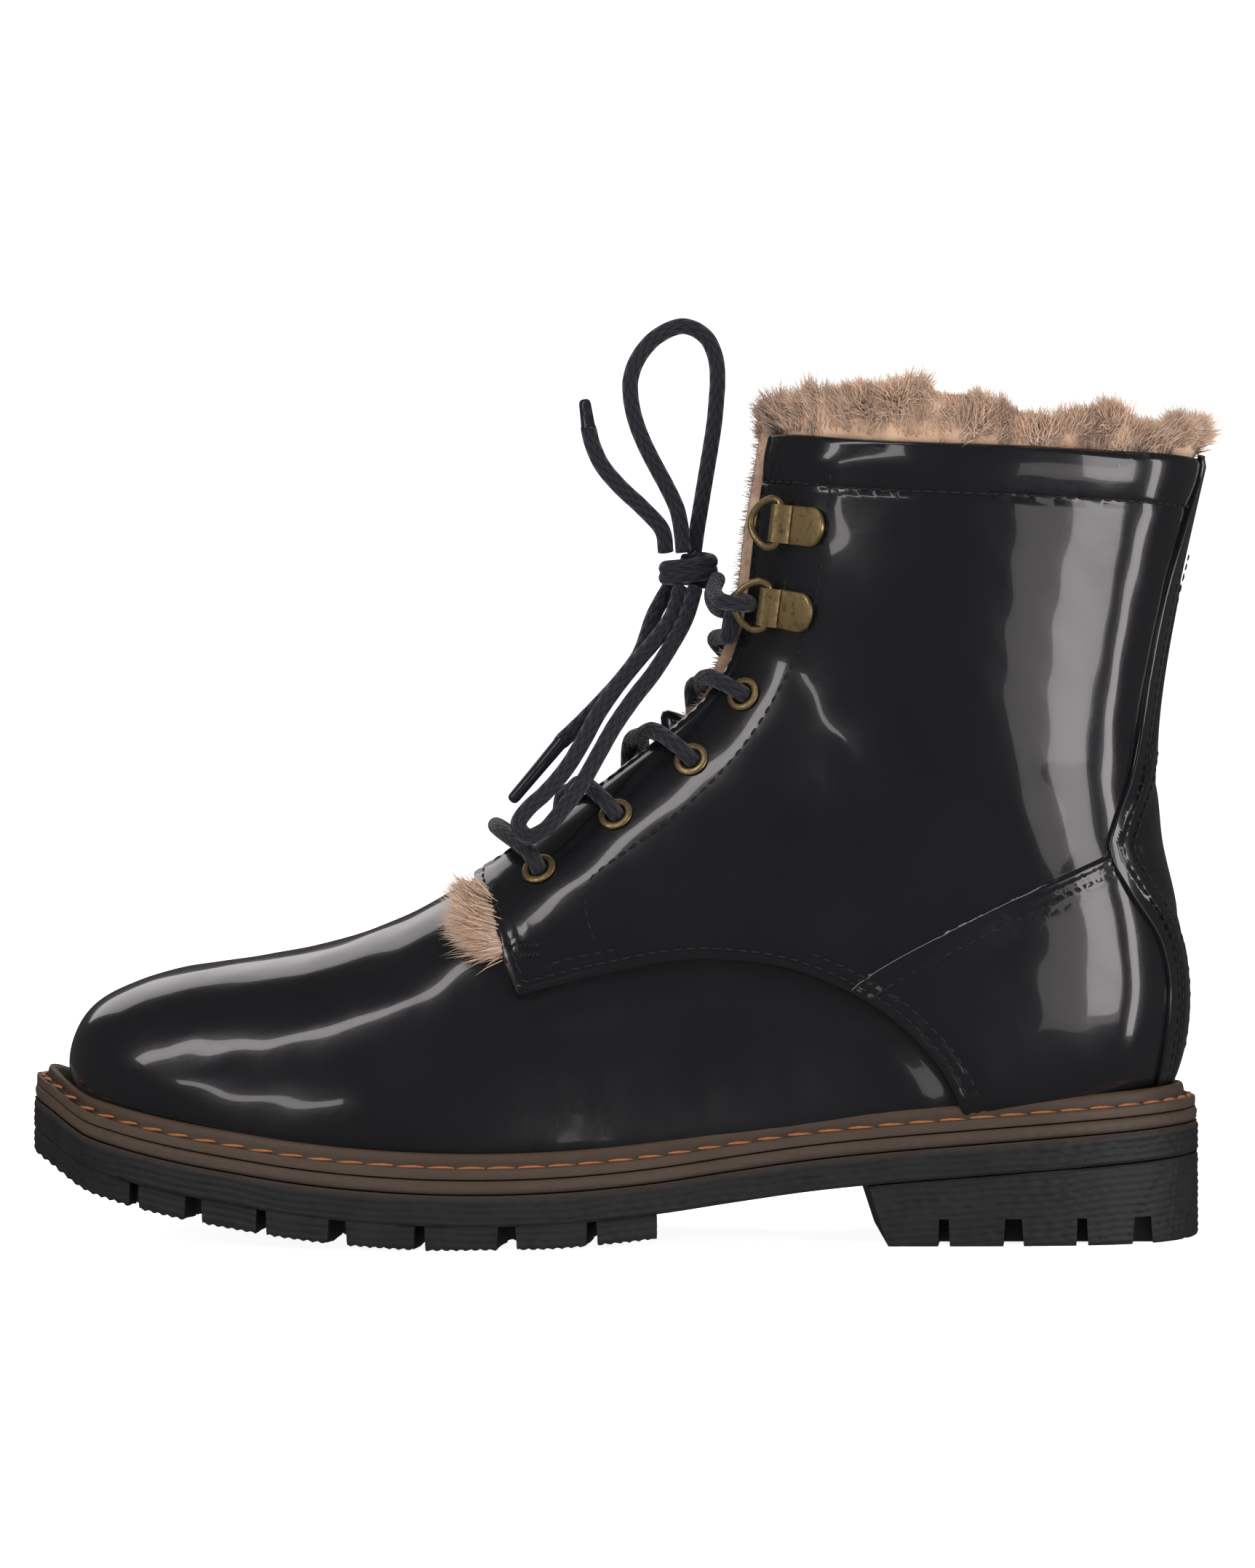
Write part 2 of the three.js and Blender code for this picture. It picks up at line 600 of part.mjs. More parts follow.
function eyeletHoles(s, radius, sides) {
  return eyelets.map((spot) => {
    const frame = frameAt(spot, s);
    return rod(placeOn(frame, 0, -6), placeOn(frame, 0, 6), radius, sides);
  });
}

function makeEyelet(frame) {
  const profile = [[eyeletHole, barrelLow], [barrel, barrelLow], [barrel, flangeLow], [eyeletFlange,
    flangeLow],
    [eyeletFlange - 0.15, flangeLow + 0.4], [eyeletFlange - 0.8, flangeHigh], [eyeletHole,
      flangeHigh - 0.3],
    [eyeletHole, barrelLow]];
  const geometry = new THREE.LatheGeometry(profile.map(([r, h]) => new THREE.Vector2(r, h)), 12);
  geometry.applyQuaternion(new THREE.Quaternion().setFromUnitVectors(new THREE.Vector3(0, 1, 0),
    frame.out));
  geometry.translate(...frame.point.toArray());
  return solidOf(geometry);
}

function makeQuarter(s) {
  const cut = quarterShell.intersect(quarterSide).intersect(behindVampSeamTop).intersect(underCollar).intersect(half(s));
  return cutAll(cut.subtract(opening(0)), eyeletHoles(s, barrel + gap, 12));
}

const behindVampSeamTop = prism([...vampSeam, ...frontEdge.slice(1, 2), [toX(-30), far], [far, far],
  [far, 28]]);

function makeCounter(s) {
  const low = prism([...vampSeam.slice(0, 5), [toX(52), far], [far, far], [far, -50], [toX(85.6), -50]]);
  return quarterShell.intersect(low).intersect(belowCounterSeam).intersect(onWelt).intersect(half(s));
}

const vampBack = side([[-30, 130], [-26, 84], [-18, 77], [-4, 74], [18.2, 77.6], [41, 76], [56, 71], [70,
  63], [79, 54],
  [88, 42], [92, 20]]);
const vampRegion = prism([...vampBack, [toX(92), -50], [-far, -50], [-far, far], [toX(-30), far]]);
const throatCut = prism(side([[-31, 130], [-31, 90], [-26.5, 84], [40, 84], [40, 130]]));
function makeVamp() {
  return vampShell.intersect(vampRegion).intersect(onWelt).subtract(throatCut);
}

const stiffenerTop = side([[64, 30], [66, 46], [84, 64], [108, 76], [130, 82], [160, 84]]);
const stiffenerRegion = prism([...stiffenerTop, [far, -50], [toX(64), -50]]);
const stiffenerLow = prism([...stiffenerTop.map(([x, z]) => [x + 1.5, z - 1.5]), [far, -50],
  [toX(64) + 1.5, -50]]);
const vampTail = prism([...vampBack.map(([x, z]) => [x + 2 * gap, z + 2 * gap]), [toX(92), -50], [-far,
  -50], [-far, far],
  [toX(-30), far]]);
function makeStiffener() {
  return shell(0, -stiffener).intersect(stiffenerLow).intersect(onWelt).subtract(vampTail);
}

const puffRegion = prism([[toX(-90), -50], [toX(-90), far], [-far, far], [-far, -50]]);
function makePuff() {
  const inner = body(-leather - gap).subtract(body(-leather - gap - stiffener));
  return inner.intersect(puffRegion).intersect(onWelt);
}

// The lining stands off the vamp, the toe puff and the stiffener, and thins to its skin at the facings.
const facingThick = 1;
const tongueDrop = 7.4;
const tongueHalf = 25;
const tongueTop = toZ(184);
const underFacings = side([[-47, 60], [-47, 100], [10, 260], [64, 260], [63, 195], [61, 178], [57, 150],
  [46, 124],
  [24, 102], [-2, 79], [-26, 60]]);

function makeLining() {
  const outerSkin = body(0).subtract(vampTail).add(body(-leather - gap));
  const puffGap = body(0).subtract(body(-leather - 2 * gap - stiffener))
    .intersect(prism([[toX(-90) + 1, -50], [toX(-90) + 1, far], [-far, far], [-far, -50]]));
  const stiffenerGap = body(0.5).subtract(body(-stiffener - gap)).intersect(stiffenerRegion);
  const tongueRoom = body(-facingThick).intersect(prism(underFacings, -tongueHalf - 6, tongueHalf + 6));
  const whole = outerSkin.subtract(body(-liningDeep)).intersect(onWelt).intersect(underFleece);
  const cleared = cutAll(whole, [puffGap, stiffenerGap, tongueRoom, opening(2.4)]);
  const holes = [...eyeletHoles(-1, barrel + 2.8, 8), ...eyeletHoles(1, barrel + 2.8, 8)];
  return cutAll(cleared, holes);
}

function makeStrip() {
  return shell(leather + stripLeather + 2 * gap,
    leather + 2 * gap).intersect(stripSide).intersect(underCollar)
    .intersect(aboveFeather(gap));
}

// ---------- Tongue ----------
// It lies under the facings and swells up between them where the lacing squeezes it.
const swell = { from: 11.95, peak: 12.5, to: 13.05, height: 11.5, half: 7 };
const tongueFrom = throat - 0.4;
const tongueTo = 21.2;
function tongueRise(u, y) {
  const along = smooth(swell.from, swell.peak, u) * (1 - smooth(swell.peak, swell.to, u));
  return along * swell.height * (Math.abs(y) < swell.half ? Math.cos((Math.PI * y) / (2 * swell.half)) ** 2 : 0);
}
function turnAtY(u, y) {
  let [low, high] = [2.2, 4];
  for (let pass = 0; pass < 30; pass++) {
    const middle = (low + high) / 2;
    if (Math.abs(surface(u, middle).y) > Math.abs(y)) low = middle;
    else high = middle;
  }
  return y < 0 ? (low + high) / 2 : 8 - (low + high) / 2;
}
// Its root lies close under the vamp, and it drops away from the facings to leave the lace its room.
const rootDrop = leather + 3 * gap;
const dropAt = (u) => rootDrop + (tongueDrop - rootDrop) * smooth(9.2, 10, u);
function makeTongueLayer(deeper, thick) {
  const halfWidth = tongueHalf;
  const rows = spread(tongueFrom, tongueTo, 18).map((u) => {
    const grow = Math.min(1, 0.62 + (u - tongueFrom) * 0.09);
    return spread(-halfWidth * grow, halfWidth * grow, 10).map((y) => [u, turnAtY(u, y), tongueRise(u,
      y) - dropAt(u)]);
  });
  const level = (depth) => rows.map((row) => row.map(([u, v, o]) => surface(u, v, o - depth)));
  return slab(level(deeper), level(deeper + thick));
}

// ---------- Lace rings ----------
const foldOuter = ringWire / 2 + gap + clipThick;
const barRise = leather + 2 * gap + foldOuter + 0.15;
const clipWide = 9.3;
const clipReach = 8.6;
const ringBow = ringReach - ringWire; // bar to bow, on the wire's middle
const ringRest = [30, 4]; // degrees that the lower and the upper rings stand off the leather

const ringLean = [13, 8]; // degrees that each bar leans back, along the facing's edge
const clipMiddle = 4; // from the bar back to the middle of the clip

// A ring's frame: its origin on the bar, and its directions taken under the middle of the clip.
function barFrame(index, s) {
  const [u, v] = ringSpots[index];
  const lean = THREE.MathUtils.degToRad(ringLean[index]);
  const upright = new THREE.Vector3(Math.sin(lean), 0, Math.cos(lean));
  const turned = (frame) => {
    const forward = upright.clone().cross(frame.out).multiplyScalar(s).normalize();
    return { ...frame, forward, bar: frame.out.clone().cross(forward) };
  };
  const bar = turned(frameAt([u, v], s));
  const under = placeOn(bar, -clipMiddle, 0);
  const spot = locate(under.x, under.z, 0, u, v - 0.1);
  const middle = turned(frameAt(spot, s));
  const ahead = bar.point.clone().sub(middle.point).dot(middle.forward);
  return { ...middle, point: placeOn(middle, ahead, barRise) };
}
const matrixOf = (frame) => new THREE.Matrix4().makeBasis(frame.forward, frame.bar,
  frame.out).setPosition(frame.point);

function makeClip() {
  const fold = new THREE.Shape().absarc(0, 0, foldOuter, 0, Math.PI * 2);
  fold.holes.push(new THREE.Path().absarc(0, 0, ringWire / 2 + gap, 0, Math.PI * 2, true));
  const wrap = new THREE.ExtrudeGeometry(fold, { depth: clipWide, bevelEnabled: false, curveSegments: 8 });
  wrap.rotateX(Math.PI / 2).translate(0, clipWide / 2, 0);
  const sheet = new THREE.Shape();
  const end = clipWide / 2 + 0.2;
  sheet.moveTo(0, -clipWide / 2);
  sheet.lineTo(0, clipWide / 2);
  sheet.lineTo(-clipReach, end);
  sheet.absarc(-clipReach, 0, end, Math.PI / 2, (Math.PI * 3) / 2, false);
  const blade = new THREE.ExtrudeGeometry(sheet, { depth: clipThick, bevelEnabled: false,
    curveSegments: 8 });
  blade.translate(0, 0, -foldOuter);
  return solidOf(wrap).add(solidOf(blade));
}

function makeRing(lift) {
  const halfHeight = (ringHeight - ringWire) / 2;
  const straight = clipWide / 2 + gap;
  const points = [-straight, 0, straight].map((y) => new THREE.Vector3(0, y, 0));
  for (const a of spread(0.3, Math.PI - 0.3, 9)) {
    points.push(new THREE.Vector3(ringBow * Math.sin(a), halfHeight * Math.cos(a), 0));
  }
  const path = new THREE.CatmullRomCurve3(points, true, "centripetal");
  const geometry = new THREE.TubeGeometry(path, 24, ringWire / 2, 5, true);
  geometry.rotateY(-THREE.MathUtils.degToRad(lift));
  return solidOf(geometry);
}

// ---------- Lace ----------
class Route extends THREE.CatmullRomCurve3 {
  getPointAt(t, target) {
    return this.getPoint(t, target);
  }
  getTangentAt(t, target) {
    return this.getTangent(t, target);
  }
}
function cord(points, steps, width = laceWidth, sides = 8) {
  const path = new Route(points, false, "centripetal");
  const shape = new THREE.Shape(spread(0, Math.PI * 2, sides).slice(0, -1)
    .map((a) => new THREE.Vector2(Math.cos(a), Math.sin(a)).multiplyScalar(width / 2)));
  return solidOf(new THREE.ExtrudeGeometry(shape, { steps, extrudePath: path, bevelEnabled: false }));
}
const at = (list) => list.map((p) => new THREE.Vector3(...p));

const knotCentre = new THREE.Vector3(18, -1, 164.6);
const knotSize = new THREE.Vector3(7.6, 5.4, 4.2);
const bend = laceWidth / 2 + 0.6; // the lace's turn about an eyelet's rim
const rideOut = leather + gap + laceWidth / 2 + 0.6; // the lace's middle over a facing
const rideIn = -facingThick - laceWidth / 2 - 1; // and under it
const crossLow = -1.6;
const crossHigh = crossLow + laceWidth + 0.5;

// Down through an eyelet: over its rim from one way, and away under the facing the other.
function through(frame, from, to) {
  const flat = (p) => {
    const d = p.clone().sub(frame.point);
    return d.addScaledVector(frame.out, -d.dot(frame.out)).normalize();
  };
  const go = (way, r, o) => frame.point.clone().addScaledVector(way, r).addScaledVector(frame.out, o);
  const [a, b] = [flat(from), flat(to)];
  return [
    go(a, bend + 1.2, flangeHigh + bend), go(a, bend, flangeHigh + bend), go(a, bend * 0.3,
      flangeHigh + bend * 0.7),
    go(a, 0, flangeHigh), go(b, 0, barrelLow), go(b, bend * 0.3, barrelLow - bend * 0.7), go(b, bend,
      barrelLow - bend),
    go(b, bend + 1, barrelLow - bend),
  ];
}

// The route from ring to ring: down one side's eyelets and up the other's, over the facings at each crossing.
function lacingRoute() {
  const spot = (i, s) => frameAt(eyelets[i], s);
  const lifts = [0, 0, 0, 1.5];
  const crossing = (i, from, high) => {
    const next = eyelets[i + 1] ? eyelets[i + 1][0] : eyelets[i][0] + 1.3;
    const [u0, u1] = [eyelets[i][0], next];
    const u = (share) => u0 + (u1 - u0) * share;
    const edge = (share, s, o, inwards) => {
      const y = s * (halfOpening(surface(u(share), 4).z) - inwards);
      return surface(u(share), turnAtY(u(share), y), o);
    };
    const middle = surface(u(0.5), 4, (high ? crossHigh : crossLow) + lifts[i]);
    const over = [edge(0.68, -from, rideOut - 0.9, 3.2), edge(0.82, -from, rideOut + 0.4, -1)];
    return { inside: edge(0.2, from, rideIn, 4.5), middle, over };
  };
  // The strand that starts under side s at eyelet 0, up to its ring.
  const strand = (s) => {
    const points = [];
    let side = s;
    let previous = surface(eyelets[0][0] - 0.25, 4, 9);
    for (let i = 0; i < eyelets.length; i++) {
      const cross = crossing(i, side, s < 0);
      const frame = spot(i, side);
      points.push(...through(frame, previous, cross.inside), cross.inside, cross.middle);
      points.push(...cross.over);
      previous = cross.over[1];
      side = -side;
    }
    const frame = barFrame(0, side);
    points.push(...ringPass.map(([r, h]) => placeOn(frame, r, h)));
    const end = knotCentre.clone().add(new THREE.Vector3(7.2, side * 3.4, -2.2));
    points.push(placeOn(frame, 13, 5).lerp(end, 0.35), end);
    return points;
  };
  const bar = [surface(eyelets[0][0] - 0.3, 4 - 0.35, 7.5), surface(eyelets[0][0] - 0.3, 4.35, 7.5)];
  return [...strand(-1).reverse(), ...bar, ...strand(1)];
}
// How the lace passes its ring, as forward of the bar and off the leather: up behind the bow and back over it.
const ringPass = [[12, -3.7], [9.5, -2.5], [6.8, -1.4], [4.7, 0.6], [3.7, 3], [3.7, 5], [4.8, 6.9], [7.2,
  7.6]];

const loopUp = at([
  [16.8, -2.8, 169.2], [16.2, -2.6, 175], [15.2, -2.4, 179.9], [12.7, -2.3, 185.4], [9.8, -2.2, 190.8],
  [7.1, -2, 196.2], [5, -1.8, 201.6], [3.8, -1.5, 207], [3.7, -1.2, 212.4], [5.7, -0.8, 217.8], [10.3,
    -0.3, 223],
  [16.9, 0.2, 225.6], [22.3, 0.6, 223], [24.8, 0.9, 217.8], [25.3, 1.2, 212.4], [25, 1.5, 207], [24.5,
    1.7, 201.6],
  [23.7, 1.9, 196.2], [22.8, 2, 190.8], [21.9, 2.1, 185.4], [21, 2.2, 179.9], [20.2, 2.4, 175], [19.4,
    1.8, 169.2],
]);
const loopDown = at([
  [16, -3.2, 160.2], [14, -7, 153.5], [10.4, -12, 148], [5.4, -17, 142], [0.6, -21, 136], [-4.2, -24, 129],
  [-8, -26, 122], [-12, -28, 115.5], [-17, -30, 109.6], [-21.5, -31, 105.4], [-23.6, -31.4, 101.8],
  [-21.4, -31.6, 99], [-17.4, -31.6, 100.4], [-13, -30.8, 105.4], [-8.4, -29.2, 111.5], [-4.4, -27.6,
    118.5],
  [-0.4, -25.6, 125.6], [4.4, -22.6, 132.6], [9.2, -18.6, 138.8], [13.4, -13.6, 145.4], [17.2, -8.4, 152.4],
  [19.6, -3.6, 160],
]);
const endUp = at([[12.4, -1.6, 169.4], [11.6, -3, 174.5], [6.9, -4, 179.9], [1, -4.6, 185.4], [-3.5, -5,
  190.8],
  [-5.9, -5.2, 196.2], [-6.7, -5.3, 199.6]]);
const endDown = at([[13.4, 2.7, 160.9], [9.6, 1, 154], [6, -4, 144], [1, -9, 137], [-4, -13, 131.4], [-9,
  -16.4, 126.2],
  [-13.2, -19, 122.2]]);
const aglets = { lace_end_up: [[-6.8, -5.3, 200], [-7.8, -5.4, 207]], lace_end_down: [[-13.5, -19.2, 121.9],
  [-25.4, -25.4, 107.6]] };

// ---------- Materials ----------
const material = (color, roughness, metalness = 0) => new THREE.MeshStandardMaterial({ color, roughness,
  metalness });
const materials = {
  polished: material(0x1b1c1f, 0.18),
  raw: material(0x121214, 0.7),
  fleece: material(0xb8957a, 0.95),
  welt: material(0x4a3527, 0.65),
  rubber: material(0x1d1d1f, 0.75),
  brass: material(0x8a7340, 0.4, 1),
  lace: material(0x14151f, 0.85),
  thread: material(0xb4622c, 0.7),
  board: material(0x8d7453, 0.9),
  steel: material(0x9a9a9a, 0.35, 1),
  plastic: material(0x101012, 0.25),
};

// ---------- The boot ----------
const boot = new THREE.Group();
function addPart(name, solid, look) {
  const mesh = new THREE.Mesh(geometryOf(solid), materials[look]);
  mesh.name = name;
  boot.add(mesh);
  return mesh;
}

addPart("outsole", makeOutsole(), "rubber");
addPart("heel_block", makeHeel(), "rubber");
addPart("midsole", makeMidsole(), "welt");
addPart("welt", makeWelt(), "welt");
addPart("welt_thread", makeThread(), "thread");
addPart("filler", makeFiller(), "board");
addPart("shank", makeShank(), "steel");
addPart("insole", insoleSpace.intersect(band(insoleLow, insoleHigh)), "board");
addPart("footbed", footSpace.intersect(band(footbedLow, footbedLow + footbedThick)), "fleece");
addPart("vamp", makeVamp(), "polished");
addPart("toe_puff", makePuff(), "board");
addPart("heel_stiffener", makeStiffener(), "board");
addPart("lining", makeLining(), "fleece");
addPart("back_strip", makeStrip(), "raw");
addPart("tongue", makeTongueLayer(0, tongueLeather), "polished");
addPart("tongue_fleece", makeTongueLayer(tongueLeather + gap, tongueFleece), "fleece");

for (const [label, s] of [["outer", -1], ["inner", 1]]) {
  addPart(`quarter_${label}`, makeQuarter(s), "polished");
  addPart(`counter_${label}`, makeCounter(s), "polished");
  eyelets.forEach((spot, i) => addPart(`eyelet_${label}_${i + 1}`, makeEyelet(frameAt(spot, s)), "brass"));
  ringSpots.forEach((spot, i) => {
    const place = matrixOf(barFrame(i, s));
    addPart(`ring_clip_${label}_${i + 1}`, makeClip(), "brass").applyMatrix4(place);
    addPart(`ring_${label}_${i + 1}`, makeRing(ringRest[i]), "brass").applyMatrix4(place);
  });
}

addPart("lacing", cord(lacingRoute(), 128), "lace");
const knot = new THREE.SphereGeometry(1, 14,
  10).scale(...knotSize.toArray()).translate(...knotCentre.toArray());
addPart("lace_knot", solidOf(knot), "lace");
addPart("lace_loop_up", cord(loopUp, 34), "lace");
addPart("lace_loop_down", cord(loopDown, 36), "lace");
addPart("lace_end_up", cord(endUp, 8), "lace");
addPart("lace_end_down", cord(endDown, 8), "lace");
for (const [name, [from, to]] of Object.entries(aglets)) {
  addPart(`aglet_${name.slice(9)}`, rod(...at([from, to]), 1.65, 12), "plastic");
}

// The origin goes under the middle of the boot's box, without its lace.
const box = new THREE.Box3();
for (const mesh of boot.children) if (!/^(lace|lacing|aglet)/.test(mesh.name)) box.expandByObject(mesh);
boot.position.set(-(box.min.x + box.max.x) / 2, -(box.min.y + box.max.y) / 2, 0);

export default boot;
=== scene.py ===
# An insulated lace-up boot, dressed over its fixed frame: polished leather, pile, stitched welt, lugged sole.
import bpy
import math
import numpy as np
from mathutils import Matrix, Vector


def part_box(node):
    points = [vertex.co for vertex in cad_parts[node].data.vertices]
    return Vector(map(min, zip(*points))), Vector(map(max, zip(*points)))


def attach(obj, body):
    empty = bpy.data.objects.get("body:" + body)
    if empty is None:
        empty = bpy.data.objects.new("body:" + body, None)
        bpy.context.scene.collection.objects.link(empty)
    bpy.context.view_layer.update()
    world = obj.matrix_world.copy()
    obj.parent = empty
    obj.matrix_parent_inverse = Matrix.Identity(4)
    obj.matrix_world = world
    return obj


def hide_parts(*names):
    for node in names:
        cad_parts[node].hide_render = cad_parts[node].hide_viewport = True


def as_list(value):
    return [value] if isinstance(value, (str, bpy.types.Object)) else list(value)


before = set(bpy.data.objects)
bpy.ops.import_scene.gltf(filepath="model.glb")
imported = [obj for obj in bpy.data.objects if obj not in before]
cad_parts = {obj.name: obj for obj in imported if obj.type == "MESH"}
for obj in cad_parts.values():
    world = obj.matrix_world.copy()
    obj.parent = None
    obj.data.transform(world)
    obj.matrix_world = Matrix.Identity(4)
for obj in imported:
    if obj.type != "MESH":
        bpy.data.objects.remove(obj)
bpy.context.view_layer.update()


# small tools
def splineBends(values, periodic):
    # second derivatives of a cubic spline through evenly spaced values
    n = len(values)
    left, right = np.zeros((n, n)), np.zeros((n, n))
    for i in range(n):
        if not periodic and i in (0, n - 1):
            left[i, i] = 1
            continue
        left[i, i] = 4
        left[i, (i - 1) % n] += 1
        left[i, (i + 1) % n] += 1
        right[i, (i - 1) % n] += 6
        right[i, i] -= 12
        right[i, (i + 1) % n] += 6
    return np.linalg.solve(left, right @ np.asarray(values, float).reshape(n, -1)).reshape(np.shape(values))


def splineThrough(values, periodic=False):
    values = np.asarray(values, float)
    bends, n = splineBends(values, periodic), len(values)

    def at(t):
        t = np.asarray(t, float)
        t = np.mod(t, n) if periodic else t
        i = np.floor(t).astype(int) % n if periodic else np.clip(np.floor(t).astype(int), 0, n - 2)
        j = (i + 1) % n
        b = t - i
        a = 1 - b
        shape = b.shape + (1,) * (values.ndim - 1)
        a, b = a.reshape(shape), b.reshape(shape)
        return a * values[i] + b * values[j] + ((a ** 3 - a) * bends[i] + (b ** 3 - b) * bends[j]) / 6
    return at


def curveThrough(points):
    # a smooth height along x, flat beyond its ends
    xs, ys = np.array(points, float).T
    slopes = np.empty(len(xs))
    slopes[1:-1] = (ys[2:] - ys[:-2]) / (xs[2:] - xs[:-2])
    slopes[0] = (ys[1] - ys[0]) / (xs[1] - xs[0])
    slopes[-1] = (ys[-1] - ys[-2]) / (xs[-1] - xs[-2])

    def at(x):
        x = np.clip(np.asarray(x, float), xs[0], xs[-1])
        i = np.clip(np.searchsorted(xs, x, side="right") - 1, 0, len(xs) - 2)
        h = xs[i + 1] - xs[i]
        s = (x - xs[i]) / h
        return ((2 * s ** 3 - 3 * s ** 2 + 1) * ys[i] + (s ** 3 - 2 * s ** 2 + s) * h * slopes[i]
                + (3 * s ** 2 - 2 * s ** 3) * ys[i + 1] + (s ** 3 - s ** 2) * h * slopes[i + 1])
    return at


def smooth(low, high, x):
    t = np.clip((np.asarray(x, float) - low) / (high - low), 0, 1)
    return t * t * (3 - 2 * t)


def unit(v):
    return v / np.maximum(np.linalg.norm(v, axis=-1, keepdims=True), 1e-12)


def wobble(points, size, seed=0):
    # smooth noise from a few sine waves, about -1 to 1
    draw = np.random.default_rng(seed)
    total = np.zeros(len(points))
    for k in range(7):
        way = unit(draw.normal(size=3)) * (0.7 + 0.6 * draw.random()) * 2 * math.pi / size
        total += np.sin(points @ way + draw.random() * 6.28)
    return total / 3.2


# the last: the same sections as the frame, in millimetres
# back x and z, front x and z, outer and inner half widths, widest, ridge, roundness above and below
stations = [
    (-100, 12, -134.5, 33, 25, 34, 0.16, 6, 0.76, 0.85), (-98, 12, -136, 42.5, 29, 37.8, 0.18, 6, 0.76, 0.85),
    (-96, 11.8, -134.3, 50.5, 32.5, 39.9, 0.22, 6, 0.76, 0.84),
            (-94, 11.6, -129.5, 57.2, 34.8, 41.1, 0.25, 5.5, 0.76, 0.83),
    (-91, 11.4, -120.5, 62.2, 37.2, 42.4, 0.28, 5, 0.76, 0.83),
            (-86, 11, -107.5, 66.1, 39.8, 43.6, 0.31, 4.2, 0.755, 0.82),
    (-78, 10.5, -90, 68.8, 42.5, 44.7, 0.33, 3.4, 0.75, 0.82),
            (-63, 9.5, -71, 72.6, 45.4, 45, 0.34, 2.4, 0.745, 0.82),
    (-46, 9, -51.5, 79.3, 46, 43.4, 0.32, 1.4, 0.74, 0.82),
            (-26, 9.5, -35, 88.8, 44.6, 40.3, 0.29, 0.6, 0.74, 0.82),
    (0, 12, -20, 99.5, 41, 36.4, 0.25, 0, 0.745, 0.82),
            (30, 15.5, -5.5, 110.8, 37.6, 33.8, 0.23, 0, 0.755, 0.82),
    (64, 19, 8, 121.8, 35.2, 33, 0.23, 0, 0.765, 0.81),
            (98, 22, 19.5, 131.6, 34.2, 32.8, 0.25, 0, 0.775, 0.79),
    (125, 28, 26.5, 140.6, 34.2, 33.6, 0.29, 0, 0.78, 0.76),
            (136.5, 43, 30, 149.4, 33.8, 33.4, 0.34, 0, 0.775, 0.74),
    (138.8, 61, 31.6, 157.4, 34.4, 34.2, 0.39, 0, 0.77, 0.73),
            (136, 80, 32.6, 165, 35.2, 35.2, 0.43, 0, 0.765, 0.73),
    (132, 100, 33.4, 172.2, 36, 36, 0.46, 0, 0.76, 0.735),
            (130.8, 121, 34.4, 179, 37, 37, 0.48, 0, 0.755, 0.74),
    (133.4, 144, 35.4, 185.6, 38, 38, 0.49, 0, 0.75, 0.745),
            (138.2, 168, 36.4, 191.8, 39.2, 39.2, 0.5, 0, 0.75, 0.75),
    (143.8, 192.7, 37.4, 198, 40.4, 40.4, 0.5, 0, 0.75, 0.75),
]


def sectionPoints(s):
    backX, backZ, frontX, frontZ, outer, inner, widest, ridge, full, low = s

    def at(share, y):
        return (backX + (frontX - backX) * share, y, backZ + (frontZ - backZ) * share)
    under = widest * (1 - low)
    over = widest + (1 - widest) * full
    return [at(0, ridge), at(under, ridge + (-outer - ridge) * low), at(widest, -outer),
            at(over, ridge + (-outer - ridge) * full), at(1, ridge), at(over, ridge + (inner - ridge) * full),
            at(widest, inner), at(under, ridge + (inner - ridge) * low)]


net = splineThrough([sectionPoints(s) for s in stations])
lastStation = len(stations) - 1
aroundBends = splineBends(np.eye(8), True)


def ridgeOf(u):
    inside = np.clip(u, 0, lastStation)
    points = net(inside)
    over = (u - inside)[:, None, None]
    return points + (points - net(inside - 0.5)) * 2 * over


def surfaceBase(u, v):
    points = ridgeOf(u)
    bends = np.einsum("ij,njk->nik", aroundBends, points)
    v = np.mod(v, 8)
    i = np.floor(v).astype(int) % 8
    j = (i + 1) % 8
    b = (v - np.floor(v))[:, None]
    a = 1 - b
    n = np.arange(len(u))
    return a * points[n, i] + b * points[n, j] + ((a ** 3 - a) * bends[n, i] + (b ** 3 - b) * bends[n, j]) / 6


def normalAt(u, v):
    along = surfaceBase(u + 0.02, v) - surfaceBase(u - 0.02, v)
    across = surfaceBase(u, v + 0.02) - surfaceBase(u, v - 0.02)
    return unit(np.cross(along, across))


def surface(u, v, offset=0.0):
    u, v = np.broadcast_arrays(np.atleast_1d(np.asarray(u, float)), np.atleast_1d(np.asarray(v, float)))
    points = surfaceBase(u, v)
    offset = np.broadcast_to(offset, u.shape)
    if np.any(offset):
        points = points + normalAt(u, v) * offset[:, None]
    return points


def one(u, v, offset=0.0):
    return surface(u, v, offset)[0]


def locate(x, z, offset, u, v):
    for _ in range(25):
        p = one(u, v, offset)
        pu = (one(u + 0.01, v, offset) - p) / 0.01
        pv = (one(u, v + 0.01, offset) - p) / 0.01
        dx, dz = x - p[0], z - p[2]
        det = pu[0] * pv[2] - pu[2] * pv[0]
        u += max(-1, min(1, (dx * pv[2] - dz * pv[0]) / det))
        v += max(-0.4, min(0.4, (pu[0] * dz - pu[2] * dx) / det))
    return u, v


